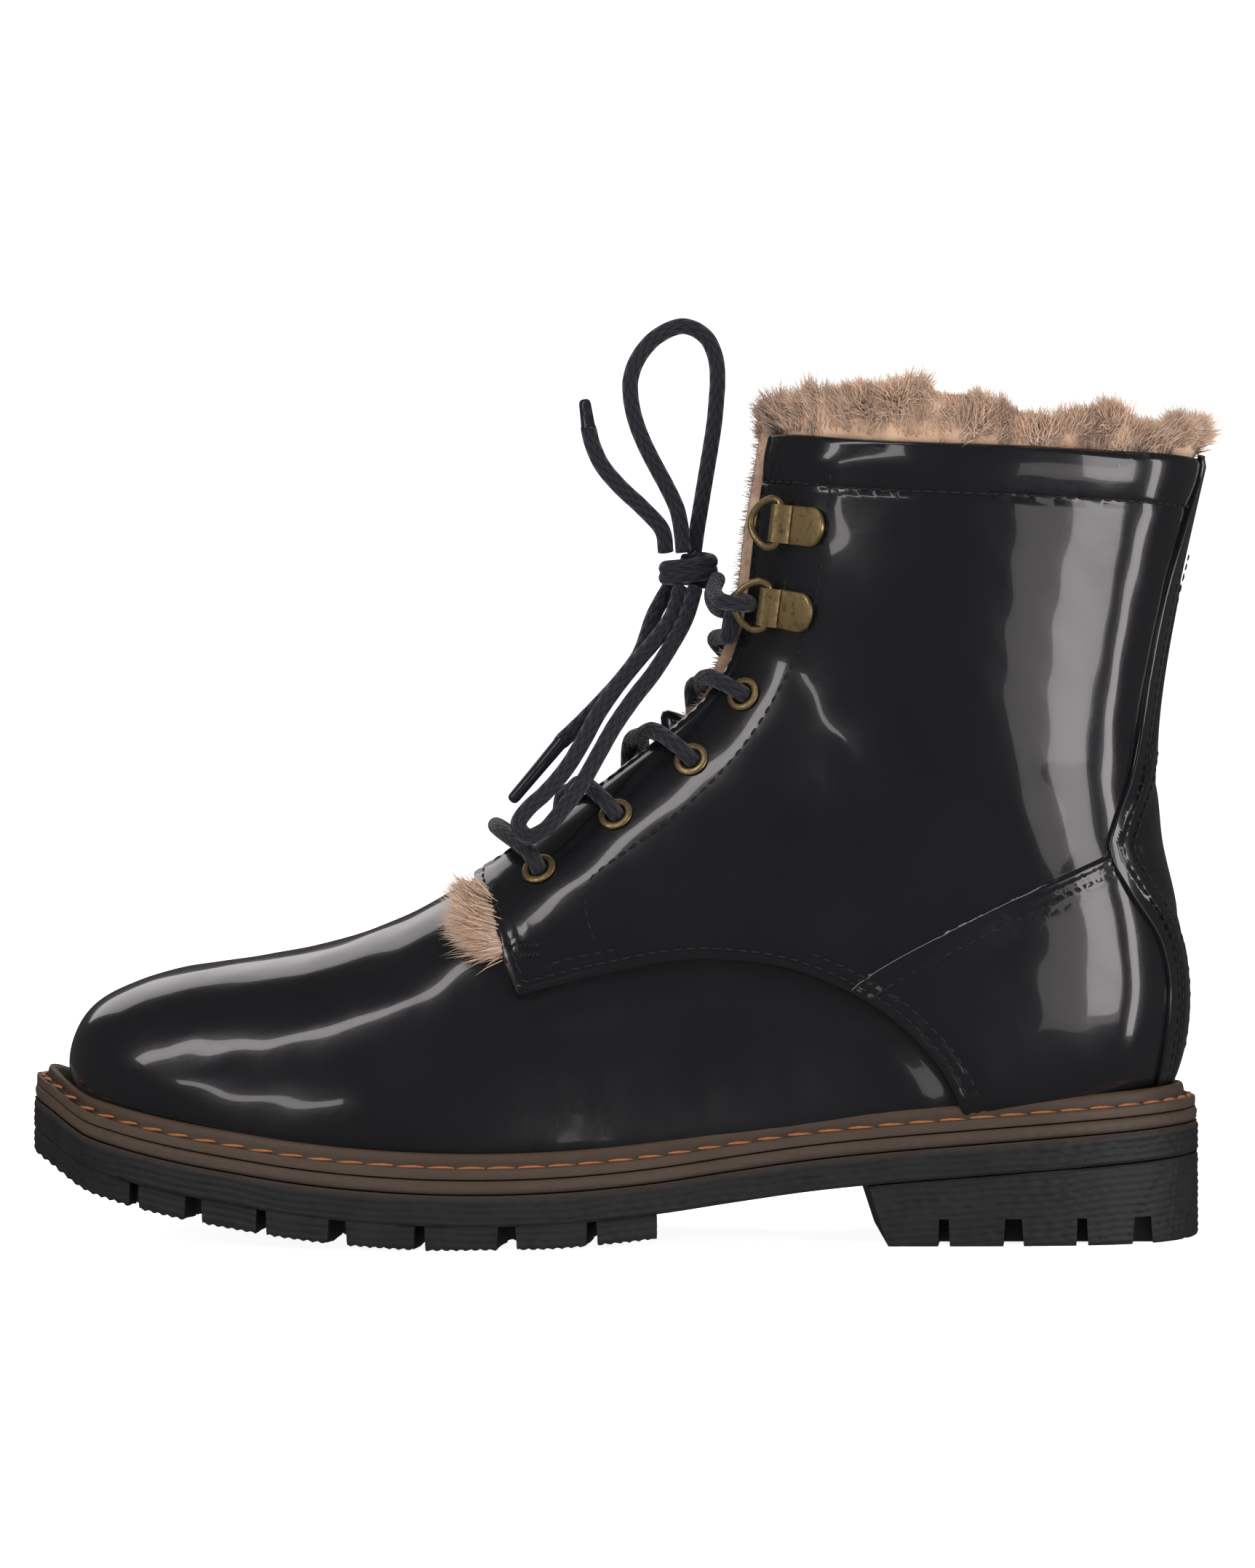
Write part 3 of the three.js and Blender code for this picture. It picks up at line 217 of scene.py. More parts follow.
feather = curveThrough([
    (-150, 42), (-140, 38.1), (-130.4, 32.6), (-122.8, 30.3), (-108.3, 27.2), (-92.3, 24.6), (-77.2, 22.4),
    (-62.5, 20.9), (-44, 19.8), (-26, 19.6), (-8.4, 20.3), (10, 22), (27.7, 24.5), (45.8, 27), (64, 28.9),
    (82, 30.4), (100, 31.8), (118, 33.1), (136, 34.3), (150, 35)])
soleShape = splineThrough([
    (-145, 6), (-139, -14), (-124, -31), (-103, -43), (-78, -50), (-50, -52.4), (-20, -49.6), (15, -43),
    (50, -39.2), (85, -38.4), (113, -36), (134, -25), (144.6, 0), (136, 22.5), (116, 34), (85, 36),
    (50, 35.6), (15, 38.4), (-20, 44.6), (-50, 50), (-78, 51.6), (-103, 48.5), (-124, 40), (-139, 25)], True)
soleTurns = 24


def soleEdge(t, inset):
    p, ahead, behind = soleShape(t), soleShape(t + 0.02), soleShape(t - 0.02)
    way = unit(ahead - behind)
    return p + np.stack([-way[:, 1], way[:, 0]], axis=1) * inset


edgeNow = soleEdge(np.linspace(0, soleTurns, 2400, endpoint=False), 0)
low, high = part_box("outsole")
shift = np.array([low[0] * 1000 - edgeNow[:, 0].min() - 0.05, low[1] * 1000 - edgeNow[:, 1].min(), 0])
print("frame stands at", np.round(shift, 2))


def metres(points):
    return (np.asarray(points, float).reshape(-1, 3) + shift) / 1000


def newPiece(name, points, faces, look, body="boot"):
    mesh = bpy.data.meshes.new(name)
    mesh.from_pydata(metres(points).tolist(), [], faces)
    mesh.validate()
    mesh.update()
    piece = bpy.data.objects.new(name, mesh)
    bpy.context.scene.collection.objects.link(piece)
    mesh.materials.append(look)
    mesh.shade_smooth()
    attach(piece, body)
    return piece


def select(piece):
    bpy.ops.object.select_all(action="DESELECT")
    piece.select_set(True)
    bpy.context.view_layer.objects.active = piece


def finishWith(piece, kind, **settings):
    # add one modifier and apply it
    select(piece)
    bpy.ops.object.modifier_add(type=kind)
    added = piece.modifiers[-1]
    for key, value in settings.items():
        setattr(added, key, value)
    bpy.ops.object.modifier_apply(modifier=added.name)


def faceOut(piece):
    select(piece)
    bpy.ops.object.mode_set(mode="EDIT")
    bpy.ops.mesh.select_all(action="SELECT")
    bpy.ops.mesh.remove_doubles(threshold=1e-6)
    bpy.ops.mesh.normals_make_consistent(inside=False)
    bpy.ops.object.mode_set(mode="OBJECT")


def attribute(piece, name, values):
    layer = piece.data.attributes.new(name, "FLOAT", "POINT")
    layer.data.foreach_set("value", np.asarray(values, np.float32))


def standsFor(piece, node):
    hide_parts(node)


def loftFaces(loops, around, closed=False):
    # joins loops of points end to end, with a cap at both ends unless the row of loops closes
    faces = []
    for k in range(loops if closed else loops - 1):
        a, b = k * around, (k + 1) % loops * around
        faces += [(a + j, a + (j + 1) % around, b + (j + 1) % around, b + j) for j in range(around)]
    if not closed:
        faces += [tuple(range(around))[::-1], tuple((loops - 1) * around + j for j in range(around))]
    return faces


def gridFaces(rows, count):
    return [(i * count + k, (i + 1) * count + k, (i + 1) * count + k + 1, i * count + k + 1)
            for i in range(rows - 1) for k in range(count - 1)]


def gridBorder(rows, count):
    # the edges round a grid, as pairs of points
    loop = list(range(count)) + [i * count + count - 1 for i in range(1, rows)]
    loop += [(rows - 1) * count + k for k in range(count - 2, -1, -1)] + [i * count
            for i in range(rows - 2, 0, -1)]
    return list(zip(loop, loop[1:] + loop[:1]))


# materials
class Wire:
    # a socket that can be used in sums
    def __init__(self, graph, socket):
        self.graph, self.socket = graph, socket

    def maths(self, operation, a, b=None):
        values = {0: a} if b is None else {0: a, 1: b}
        return self.graph.node("ShaderNodeMath", {"operation": operation}, values)

    def __add__(self, other):
        return self.maths("ADD", self, other)

    def __radd__(self, other):
        return self.maths("ADD", other, self)

    def __sub__(self, other):
        return self.maths("SUBTRACT", self, other)

    def __rsub__(self, other):
        return self.maths("SUBTRACT", other, self)

    def __mul__(self, other):
        return self.maths("MULTIPLY", self, other)

    def __rmul__(self, other):
        return self.maths("MULTIPLY", other, self)

    def fract(self):
        return self.maths("FRACT", self)

    def absolute(self):
        return self.maths("ABSOLUTE", self)

    def over(self, other):
        return self.maths("GREATER_THAN", self, other)

    def between(self, low, high):
        values = {"Value": self, "From Min": low, "From Max": high}
        return self.graph.node("ShaderNodeMapRange", {"interpolation_type": "SMOOTHSTEP"}, values)


inputNames = {"roughness": "Roughness", "metallic": "Metallic", "coat": "Coat Weight", "normal": "Normal",
              "coatRoughness": "Coat Roughness", "sheen": "Sheen Weight", "sheenRoughness": "Sheen Roughness",
              "ior": "IOR", "color": "Base Color"}


class Graph:
    # the nodes of one material
    def __init__(self, name, color, **fixed):
        self.material = bpy.data.materials.new(name)
        self.material.use_nodes = True
        self.tree = self.material.node_tree
        self.shader = self.tree.nodes["Principled BSDF"]
        self.shader.inputs["Base Color"].default_value = (*color, 1)
        for key, value in fixed.items():
            self.shader.inputs[inputNames[key]].default_value = value
        coordinates = self.tree.nodes.new("ShaderNodeTexCoord")
        self.place = Wire(self, coordinates.outputs["Object"])
        self.map = Wire(self, coordinates.outputs["UV"])

    def node(self, kind, settings, values, out=0):
        made = self.tree.nodes.new(kind)
        for key, value in settings.items():
            setattr(made, key, value)
        for key, value in values.items():
            if isinstance(value, Wire):
                self.tree.links.new(value.socket, made.inputs[key])
            else:
                made.inputs[key].default_value = value
        return Wire(self, made.outputs[out])

    def stretched(self, scale):
        return self.node("ShaderNodeMapping", {}, {"Vector": self.place, "Scale": scale})

    def noise(self, scale, detail=3.0, roughness=0.5, where=None, distortion=0.0):
        values = {"Vector": where or self.place, "Scale": scale, "Detail": detail, "Roughness": roughness,
                  "Distortion": distortion}
        return self.node("ShaderNodeTexNoise", {}, values)

    def cells(self, scale):
        return self.node("ShaderNodeTexVoronoi", {}, {"Vector": self.place, "Scale": scale})

    def mix(self, share, a, b):
        # mixes two colours
        made = self.tree.nodes.new("ShaderNodeMix")
        made.data_type = "RGBA"
        for socket, value in ((made.inputs[0], share), (made.inputs[6], a), (made.inputs[7], b)):
            if isinstance(value, Wire):
                self.tree.links.new(value.socket, socket)
            else:
                socket.default_value = (*value, 1) if isinstance(value, tuple) else value
        return Wire(self, made.outputs[2])

    def painted(self, name):
        return self.node("ShaderNodeAttribute", {"attribute_name": name}, {}, 2)

    def bump(self, height, strength, distance):
        return self.node("ShaderNodeBump", {}, {"Height": height, "Strength": strength, "Distance": distance})

    def feed(self, **wires):
        for key, wire in wires.items():
            self.tree.links.new(wire.socket, self.shader.inputs[inputNames[key]])
        return self.material


def polishedLeather():
    g = Graph("polishedLeather", (0.006, 0.006, 0.0068), roughness=0.2, coat=0.85, coatRoughness=0.045,
              ior=1.5)
    patches = g.noise(38, 3)
    grain = g.noise(900, 2, 0.6)
    peel = g.noise(260, 2, 0.45)
    creases = g.noise(70, 4, 0.6, distortion=0.6)
    worn = (patches * 0.07 + 0.17) + (grain - 0.5) * 0.03
    height = peel * 0.6 + grain * 0.25 + creases * 0.5
    return g.feed(roughness=worn, normal=g.bump(height, 0.1, 0.0006),
                  color=g.mix(patches, (0.0045, 0.0045, 0.0052), (0.0075, 0.0074, 0.0085)))


def rawLeather():
    g = Graph("rawLeather", (0.011, 0.0105, 0.0105), roughness=0.55, sheen=0.15, sheenRoughness=0.5)
    fibres = g.noise(520, 5, 0.7)
    pores = g.cells(1100)
    return g.feed(roughness=fibres * 0.25 + 0.42, normal=g.bump(fibres * 0.7 + pores * 0.3, 0.35, 0.0004),
                  color=g.mix(fibres, (0.006, 0.006, 0.006), (0.018, 0.017, 0.017)))


def pileWool():
    g = Graph("pileWool", (0.5, 0.32, 0.21), roughness=0.85, sheen=0.45, sheenRoughness=0.45)
    shade = g.painted("shade")
    clumps = g.noise(95, 4, 0.6)
    fine = g.noise(900, 3, 0.7)
    tips = g.mix(shade, (0.13, 0.067, 0.038), (0.76, 0.505, 0.345))
    return g.feed(color=g.mix(clumps.between(0.35, 0.7) * 0.5 + fine * 0.2, tips, (0.5, 0.325, 0.215)),
                  normal=g.bump(fine, 0.6, 0.0006))


def weltLeather():
    g = Graph("weltLeather", (0.07, 0.036, 0.02), roughness=0.55)
    drop = g.painted("drop")
    soft = g.noise(55, 4, 0.6)
    streaks = g.noise(1.0, 4, 0.65, where=g.stretched((90, 90, 900)))
    grain = g.noise(1100, 3, 0.65)
    base = g.mix(soft * 0.55 + streaks * 0.45, (0.027, 0.017, 0.0105), (0.068, 0.0425, 0.027))
    dark = (drop - 4.6).between(0, 2.6)
    return g.feed(color=g.mix(dark, base, (0.012, 0.009, 0.008)), roughness=grain * 0.2 + 0.44,
                  normal=g.bump(grain * 0.4 + streaks * 0.6, 0.4, 0.0004))


def soleRubber():
    g = Graph("soleRubber", (0.012, 0.012, 0.0125), roughness=0.58)
    drop = g.painted("drop")
    dust = g.noise(140, 5, 0.65)
    grain = g.noise(1500, 3, 0.7)
    scuffs = g.noise(1.0, 5, 0.75, where=g.stretched((60, 60, 420)))
    brown = 1 - (drop - 5.2).between(0, 3.4)
    base = g.mix(dust, (0.0055, 0.0055, 0.006), (0.0135, 0.013, 0.013))
    return g.feed(color=g.mix(brown * 0.85, g.mix(scuffs.between(0.58, 0.8) * 0.5, base,
                                                  (0.024, 0.0225, 0.022)), (0.04, 0.025, 0.016)),
                  roughness=dust * 0.22 + 0.46, normal=g.bump(grain * 0.6 + scuffs * 0.7, 0.35, 0.0004))


def agedBrass():
    g = Graph("agedBrass", (0.32, 0.215, 0.09), roughness=0.34, metallic=1.0)
    tarnish = g.noise(420, 5, 0.65)
    spots = g.noise(1800, 3, 0.7)
    patina = (tarnish * 0.75 + spots * 0.25).between(0.36, 0.66)
    return g.feed(color=g.mix(patina, (0.2, 0.135, 0.065), (0.6, 0.45, 0.21)), roughness=0.46 - patina * 0.18,
                  metallic=patina * 0.2 + 0.8, normal=g.bump(spots * 0.6 + tarnish * 0.4, 0.18, 0.0003))


def wovenLace():
    g = Graph("wovenLace", (0.01, 0.0115, 0.02), roughness=0.72, sheen=0.12, sheenRoughness=0.4)
    parts = g.node("ShaderNodeSeparateXYZ", {}, {"Vector": g.map})
    along = Wire(g, parts.socket.node.outputs[1])
    strands = parts * 8
    upper = ((strands + along).fract() - 0.5).absolute() * 2
    lower = ((strands - along).fract() - 0.5).absolute() * 2
    swap = (strands + 0.25).fract().over(0.5)
    ridges = (1 - upper * upper) * swap + (1 - lower * lower) * (1 - swap)
    fuzz = g.noise(2600, 2, 0.7)
    # the colour is darker down in the dips between strands: painted shade; the fuzz is the cord's own patchy
    # tone
    return g.feed(color=g.mix(ridges * 0.75 + fuzz * 0.35, (0.0022, 0.0023, 0.0036), (0.012, 0.013, 0.019)),
                  roughness=0.8 - ridges * 0.14, normal=g.bump(ridges * 0.8 + fuzz * 0.3, 0.85, 0.0005))


def waxedThread(name, dark, light):
    g = Graph(name, light, roughness=0.55)
    twist = g.noise(1.0, 2, 0.5, where=g.stretched((2600, 2600, 1300)))
    hairs = g.noise(3000, 2, 0.7)
    return g.feed(color=g.mix(twist * 0.7 + hairs * 0.3, dark, light), roughness=hairs * 0.3 + 0.4,
                  normal=g.bump(twist + hairs * 0.4, 0.5, 0.0003))


def glossTip():
    g = Graph("glossTip", (0.008, 0.008, 0.01), roughness=0.16, coat=0.4, coatRoughness=0.05)
    marks = g.noise(700, 3, 0.6)
    return g.feed(roughness=marks * 0.16 + 0.12, normal=g.bump(marks, 0.1, 0.0002),
                  color=g.mix(marks, (0.006, 0.006, 0.008), (0.016, 0.016, 0.02)))


def fibreBoard():
    g = Graph("fibreBoard", (0.3, 0.21, 0.13), roughness=0.85)
    flecks = g.noise(700, 5, 0.75)
    return g.feed(color=g.mix(flecks, (0.2, 0.135, 0.08), (0.42, 0.31, 0.2)),
                  normal=g.bump(flecks, 0.4, 0.0004))


def shankSteel():
    g = Graph("shankSteel", (0.45, 0.45, 0.46), roughness=0.35, metallic=1.0)
    brushed = g.noise(1.0, 3, 0.6, where=g.stretched((60, 1600, 1600)))
    return g.feed(roughness=brushed * 0.2 + 0.26, normal=g.bump(brushed, 0.15, 0.0002))


looks = {
    "polished": polishedLeather(), "raw": rawLeather(), "fleece": pileWool(), "welt": weltLeather(),
    "rubber": soleRubber(), "brass": agedBrass(), "lace": wovenLace(),
    "thread": waxedThread("waxedThread", (0.11, 0.035, 0.01), (0.42, 0.15, 0.045)),
    "blackThread": waxedThread("blackThread", (0.003, 0.003, 0.0035), (0.012, 0.012, 0.014)),
    "board": fibreBoard(), "steel": shankSteel(), "plastic": glossTip(),
}
print("materials made")

# camera
cameraSet = {"x": 2.9, "y": -1300, "z": 111.7, "lens": 120}
eye = bpy.data.cameras.new("camera")
eye.lens, eye.sensor_width = cameraSet["lens"], 36
eye.clip_start, eye.clip_end = 0.01, 50
camera = bpy.data.objects.new("camera", eye)
bpy.context.scene.collection.objects.link(camera)
camera.location = Vector(metres([(cameraSet["x"], cameraSet["y"], cameraSet["z"])])[0])
camera.rotation_euler = (math.pi / 2, 0, 0)
bpy.context.scene.camera = camera


# lacing
leather, gap, laceWidth, facingThick = 1.8, 0.3, 4.0, 1.0
eyeletHole, eyeletFlange, ringWire = 2.6, 4.3, 1.7
barrelLow, flangeLow = -1, leather + 2 * gap
flangeHigh = flangeLow + 0.65
halfOpening = curveThrough([(70, 8.5), (91, 10.5), (118, 12), (150, 12.5), (200, 14)])
eyelets = [locate(x, z, leather + gap, 10 + i * 1.6, 3.2)
           for i, (x, z) in enumerate([(-18.6, 90.9), (0.1, 104.2), (18.5, 117.6), (31.3, 133.6)])]
ringSpots = [locate(x, z, leather + gap, 16.5 + i * 3, 3.3) for i,
             (x, z) in enumerate([(38.2, 155), (41, 175)])]


def turnAtY(u, y):
    u, y = np.broadcast_arrays(np.atleast_1d(np.asarray(u, float)), np.atleast_1d(np.asarray(y, float)))
    low, high = np.full(u.shape, 2.2), np.full(u.shape, 4.0)
    for _ in range(30):
        middle = (low + high) / 2
        wide = np.abs(surface(u, middle)[:, 1]) > np.abs(y)
        low, high = np.where(wide, middle, low), np.where(wide, high, middle)
    middle = (low + high) / 2
    return np.where(y < 0, middle, 8 - middle)


class Spot:
    # a place on the upper, with its outward, forward and bar directions; s is -1 on the outer side
    def __init__(self, u, v, s):
        turn = v if s < 0 else 8 - v
        self.u, self.s = u, s
        self.point = one(u, turn)
        self.out = normalAt(np.array([u]), np.array([turn]))[0]
        ahead = one(u, turn - s * 0.05) - self.point
        self.forward = unit(ahead - self.out * (ahead @ self.out))
        self.bar = np.cross(self.out, self.forward)

    def go(self, r, o, b=0.0):
        return self.point + self.forward * r + self.out * o + self.bar * b


clipThick = 0.9
foldOuter = ringWire / 2 + gap + clipThick
barRise = leather + 2 * gap + foldOuter + 0.15


def barSpot(index, s):
    u, v = ringSpots[index]
    lean = math.radians((13, 8)[index])
    upright = np.array([math.sin(lean), 0, math.cos(lean)])

    def turned(spot):
        spot.forward = unit(np.cross(upright, spot.out) * s)
        spot.bar = np.cross(spot.out, spot.forward)
        return spot
    bar = turned(Spot(u, v, s))
    under = bar.go(-4, 0)
    middle = turned(Spot(*locate(under[0], under[2], 0, u, v - 0.1), s))
    ahead = (bar.point - middle.point) @ middle.forward
    middle.point = middle.go(ahead, barRise)
    return middle


knotCentre = np.array([18, -1, 164.6])
bend = laceWidth / 2 + 0.6
rideOut = leather + gap + laceWidth / 2 + 0.6
rideIn = -facingThick - laceWidth / 2 - 1
crossLow = -1.6
crossHigh = crossLow + laceWidth + 0.5
ringPass = [(12, -3.7), (9.5, -2.5), (6.8, -1.4), (4.7, 0.6), (3.7, 3), (3.7, 5), (4.8, 6.9), (7.2, 7.6)]


def through(spot, before, after):
    # down through an eyelet, over its rim from one way and away under the facing the other
    def flat(p):
        d = p - spot.point
        return unit(d - spot.out * (d @ spot.out))
    a, b = flat(before), flat(after)
    steps = [(a, bend + 1.2, flangeHigh + bend), (a, bend, flangeHigh + bend),
             (a, bend * 0.3, flangeHigh + bend * 0.7),
             (a, 0, flangeHigh), (b, 0, barrelLow), (b, bend * 0.3, barrelLow - bend * 0.7),
             (b, bend, barrelLow - bend),
             (b, bend + 1, barrelLow - bend)]
    return [spot.point + way * r + spot.out * o for way, r, o in steps]


def lacingRoute():
    def crossing(i, side, high):
        u0 = eyelets[i][0]
        u1 = eyelets[i + 1][0] if i + 1 < len(eyelets) else u0 + 1.3

        def edge(share, s, o, inwards):
            u = u0 + (u1 - u0) * share
            y = s * (float(halfOpening(one(u, 4)[2])) - inwards)
            return one(u, turnAtY(u, y)[0], o)
        middle = one(u0 + (u1 - u0) * 0.5, 4, (crossHigh if high else crossLow) + (1.5 if i == 3 else 0))
        return edge(0.2, side, rideIn, 4.5), middle, [edge(0.68, -side, rideOut - 0.9, 3.2),
                                                      edge(0.82, -side, rideOut + 0.4, -1)]

    def strand(s):
        points, side = [], s
        previous = one(eyelets[0][0] - 0.25, 4, 9)
        for i, (u, v) in enumerate(eyelets):
            inside, middle, over = crossing(i, side, s < 0)
            points += [*through(Spot(u, v, side), previous, inside), inside, middle, *over]
            previous = over[1]
            side = -side
        spot = barSpot(0, side)
        points += [spot.go(r, h) for r, h in ringPass]
        end = knotCentre + np.array([7.2, side * 3.4, -2.2])
        return points + [spot.go(13, 5) + (end - spot.go(13, 5)) * 0.35, end]
    bar = [one(eyelets[0][0] - 0.3, 3.65, 7.5), one(eyelets[0][0] - 0.3, 4.35, 7.5)]
    return strand(-1)[::-1] + bar + strand(1)


loopUp = [
    (16.8, -2.8, 169.2), (16.2, -2.6, 175), (15.2, -2.4, 179.9), (12.7, -2.3, 185.4), (9.8, -2.2, 190.8),
    (7.1, -2, 196.2), (5, -1.8, 201.6), (3.8, -1.5, 207), (3.7, -1.2, 212.4), (5.7, -0.8, 217.8),
          (10.3, -0.3, 223),
    (16.9, 0.2, 225.6), (22.3, 0.6, 223), (24.8, 0.9, 217.8), (25.3, 1.2, 212.4), (25, 1.5, 207),
          (24.5, 1.7, 201.6),
    (23.7, 1.9, 196.2), (22.8, 2, 190.8), (21.9, 2.1, 185.4), (21, 2.2, 179.9), (20.2, 2.4, 175),
          (19.4, 1.8, 169.2)]
loopDown = [
    (16, -3.2, 160.2), (14, -7, 153.5), (10.4, -12, 148), (5.4, -17, 142), (0.6, -21, 136), (-4.2, -24, 129),
    (-8, -26, 122), (-12, -28, 115.5), (-17, -30, 109.6), (-21.5, -31, 105.4), (-23.6, -31.4, 101.8),
    (-21.4, -31.6, 99), (-17.4, -31.6, 100.4), (-13, -30.8, 105.4), (-8.4, -29.2, 111.5),
            (-4.4, -27.6, 118.5),
    (-0.4, -25.6, 125.6), (4.4, -22.6, 132.6), (9.2, -18.6, 138.8), (13.4, -13.6, 145.4),
            (17.2, -8.4, 152.4), (19.6, -3.6, 160)]
endUp = [(12.4, -1.6, 169.4), (11.6, -3, 174.5), (6.9, -4, 179.9), (1, -4.6, 185.4), (-3.5, -5, 190.8),
         (-5.9, -5.2, 196.2),
         (-6.7, -5.3, 199.6)]
endDown = [(13.4, 2.7, 160.9), (9.6, 1, 154), (6, -4, 144), (1, -9, 137), (-4, -13, 131.4),
           (-9, -16.4, 126.2), (-13.2, -19, 122.2)]
aglets = {"lace_end_up": ((-6.8, -5.3, 200), (-7.8, -5.4, 207)),
          "lace_end_down": ((-13.5, -19.2, 121.9), (-25.4, -25.4, 107.6))}


def curvePoints(points, spacing, closed=False):
    # a centripetal curve through the points, sampled evenly
    p = np.asarray(points, float)
    p = np.vstack([p[-1], p, p[:2]]) if closed else np.vstack([2 * p[0] - p[1], p, 2 * p[-1] - p[-2]])
    found = []
    for k in range(1, len(p) - 2):
        d = [max(np.linalg.norm(p[k + j] - p[k + j - 1]) ** 0.5, 1e-4) for j in range(3)]
        t1 = ((p[k] - p[k - 1]) / d[0] - (p[k + 1] - p[k - 1]) / (d[0] + d[1])
              + (p[k + 1] - p[k]) / d[1]) * d[1]
        t2 = ((p[k + 1] - p[k]) / d[1] - (p[k + 2] - p[k]) / (d[1] + d[2])
              + (p[k + 2] - p[k + 1]) / d[2]) * d[1]
        for t in np.linspace(0, 1, 24, endpoint=False):
            found.append(p[k] + t1 * t + (-3 * p[k] + 3 * p[k + 1] - 2 * t1 - t2) * t ** 2
                         + (2 * p[k] - 2 * p[k + 1] + t1 + t2) * t ** 3)
    found.append(p[-2])
    found = np.array(found)
    far = np.concatenate([[0], np.cumsum(np.linalg.norm(np.diff(found, axis=0), axis=1))])
    count = max(4, int(round(far[-1] / spacing)))
    marks = np.linspace(0, far[-1], count + 1)
    even = np.stack([np.interp(marks, far, found[:, c]) for c in range(3)], axis=1)
    return (even[:-1] if closed else even), far[-1]


braidLay = 4.0


def tube(name, path, radius, look, body="boot", sides=14, closed=False, start=(0.3, 1, 0.2)):
    # a round cord or wire along evenly spaced points, with a map of turns round and lengths along
    n = len(path)
    ahead = np.roll(path, -1, axis=0) - np.roll(path, 1, axis=0) if closed else np.gradient(path, axis=0)
    ahead = unit(ahead)
    up = unit(np.cross(ahead[0], start))
    rings, lengths, length = [], [], 0.0
    angles = np.arange(sides) * 2 * math.pi / sides
    for k in range(n):
        up = unit(up - ahead[k] * (up @ ahead[k]))
        across = np.cross(ahead[k], up)
        rings.append(path[k] + (np.cos(angles)[:, None] * up + np.sin(angles)[:, None] * across) * radius)
        lengths.append(length)
        length += np.linalg.norm(path[(k + 1) % n] - path[k])
    piece = newPiece(name, np.concatenate(rings), loftFaces(n, sides, closed), look, body)
    uv = piece.data.uv_layers.new(name="laceMap")
    for face in piece.data.polygons:
        corners = list(face.vertices)
        turns = [c % sides for c in corners]
        rows = [c // sides for c in corners]
        wraps = 0 in turns and sides - 1 in turns and len(corners) == 4
        for k, loop in enumerate(face.loop_indices):
            turn = turns[k] + (sides if wraps and turns[k] == 0 else 0)
            row = lengths[rows[k]] if not (closed and rows[k] == 0 and n - 1 in rows) else length
            uv.data[loop].uv = (turn / sides, row / braidLay)
    return piece


cordSet = {"spacing": 0.75, "sides": 14, "tipSides": 20}


def braid(node, points):
    path, length = curvePoints(points, cordSet["spacing"])
    piece = tube(node + "_braid", path, laceWidth / 2, looks["lace"], sides=cordSet["sides"])
    standsFor(piece, node)
    return piece, path, length


def cordFacts(piece, path, length, farEnd, lay, others=()):
    tuple(metres(path[0])[0])
    length / 1000
    metres(path).tolist()
    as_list(others)


piece, path, routeLength = braid("lacing", lacingRoute())
cordFacts(piece, path, routeLength, "object", "taut")
for name, points in (("lace_loop_up", loopUp), ("lace_loop_down", loopDown)):
    cordFacts(*braid(name, points), "object", "hanging")
for name, points in (("lace_end_up", endUp), ("lace_end_down", endDown)):
    start, stop = (np.array(p, float) for p in aglets[name])
    piece, path, length = braid(name, points)
    # a crimped tip: slightly waisted where it grips the braid, rounded at its end
    way = unit(stop - start)
    reach = np.linalg.norm(stop - start)
    profile = [(-0.6, 1.9), (0.0, 1.95), (0.6, 1.75), (reach * 0.5, 1.6), (reach - 1.2, 1.5),
               (reach - 0.4, 1.3), (reach, 0.85)]
    up = unit(np.cross(way, [0.2, 1, 0.1]))
    across = np.cross(way, up)
    angles = np.arange(cordSet["tipSides"]) * 2 * math.pi / cordSet["tipSides"]
    rings = [start + way * a + (np.cos(angles)[:, None] * up + np.sin(angles)[:, None] * across) * r for a,
             r in profile]
    node = name.replace("lace_end", "aglet")
    tip = newPiece(node + "_tip", np.concatenate(rings), loftFaces(len(profile), cordSet["tipSides"]),
                   looks["plastic"])
    standsFor(tip, node)
    cordFacts(piece, path, length, "fitting", "hanging", [tip])

# the knot: two turns round the strands, one lying across the other
knotSet = {"wide": 5.5, "deep": 3.3, "rise": 3.7, "spacing": 0.6}
turns = np.linspace(0, 2 * math.pi * 2.15, 26)
helix = [knotCentre + np.array([math.cos(a) * knotSet["wide"], math.sin(a) * knotSet["deep"],
                                (a / (2 * math.pi) - 1.07) * knotSet["rise"] * 0.62
                                + 0.5 * math.sin(a + 0.6)]) for a in turns]
helix = [knotCentre + np.array([1.5, 1.2, -2.6])] + helix + [knotCentre + np.array([-1.0, 0.4, 2.4])]
inside = [knotCentre + np.array(p) for p in ((-3.6, 0.8, -4), (-2.2, 0.6, -1), (0.5, 0.4, 1), (3, 0.8, 4))]
for name, points, radius, sides in (("lace_knot_wrap", helix, 1.95, 14), ("lace_knot_core", inside, 1.9, 12)):
    piece = tube(name, curvePoints(points, knotSet["spacing"])[0], radius, looks["lace"], sides=sides)
    standsFor(piece, "lace_knot")
print("lacing", round(routeLength), "mm laid")

# leather panels: fine sheets on the last, trimmed along their seams
def line(points):
    # a seam's corner points, rounded off into a fine line in side view
    return curvePoints([(x, 0, z) for x, z in points], 1.5)[0][:, [0, 2]]


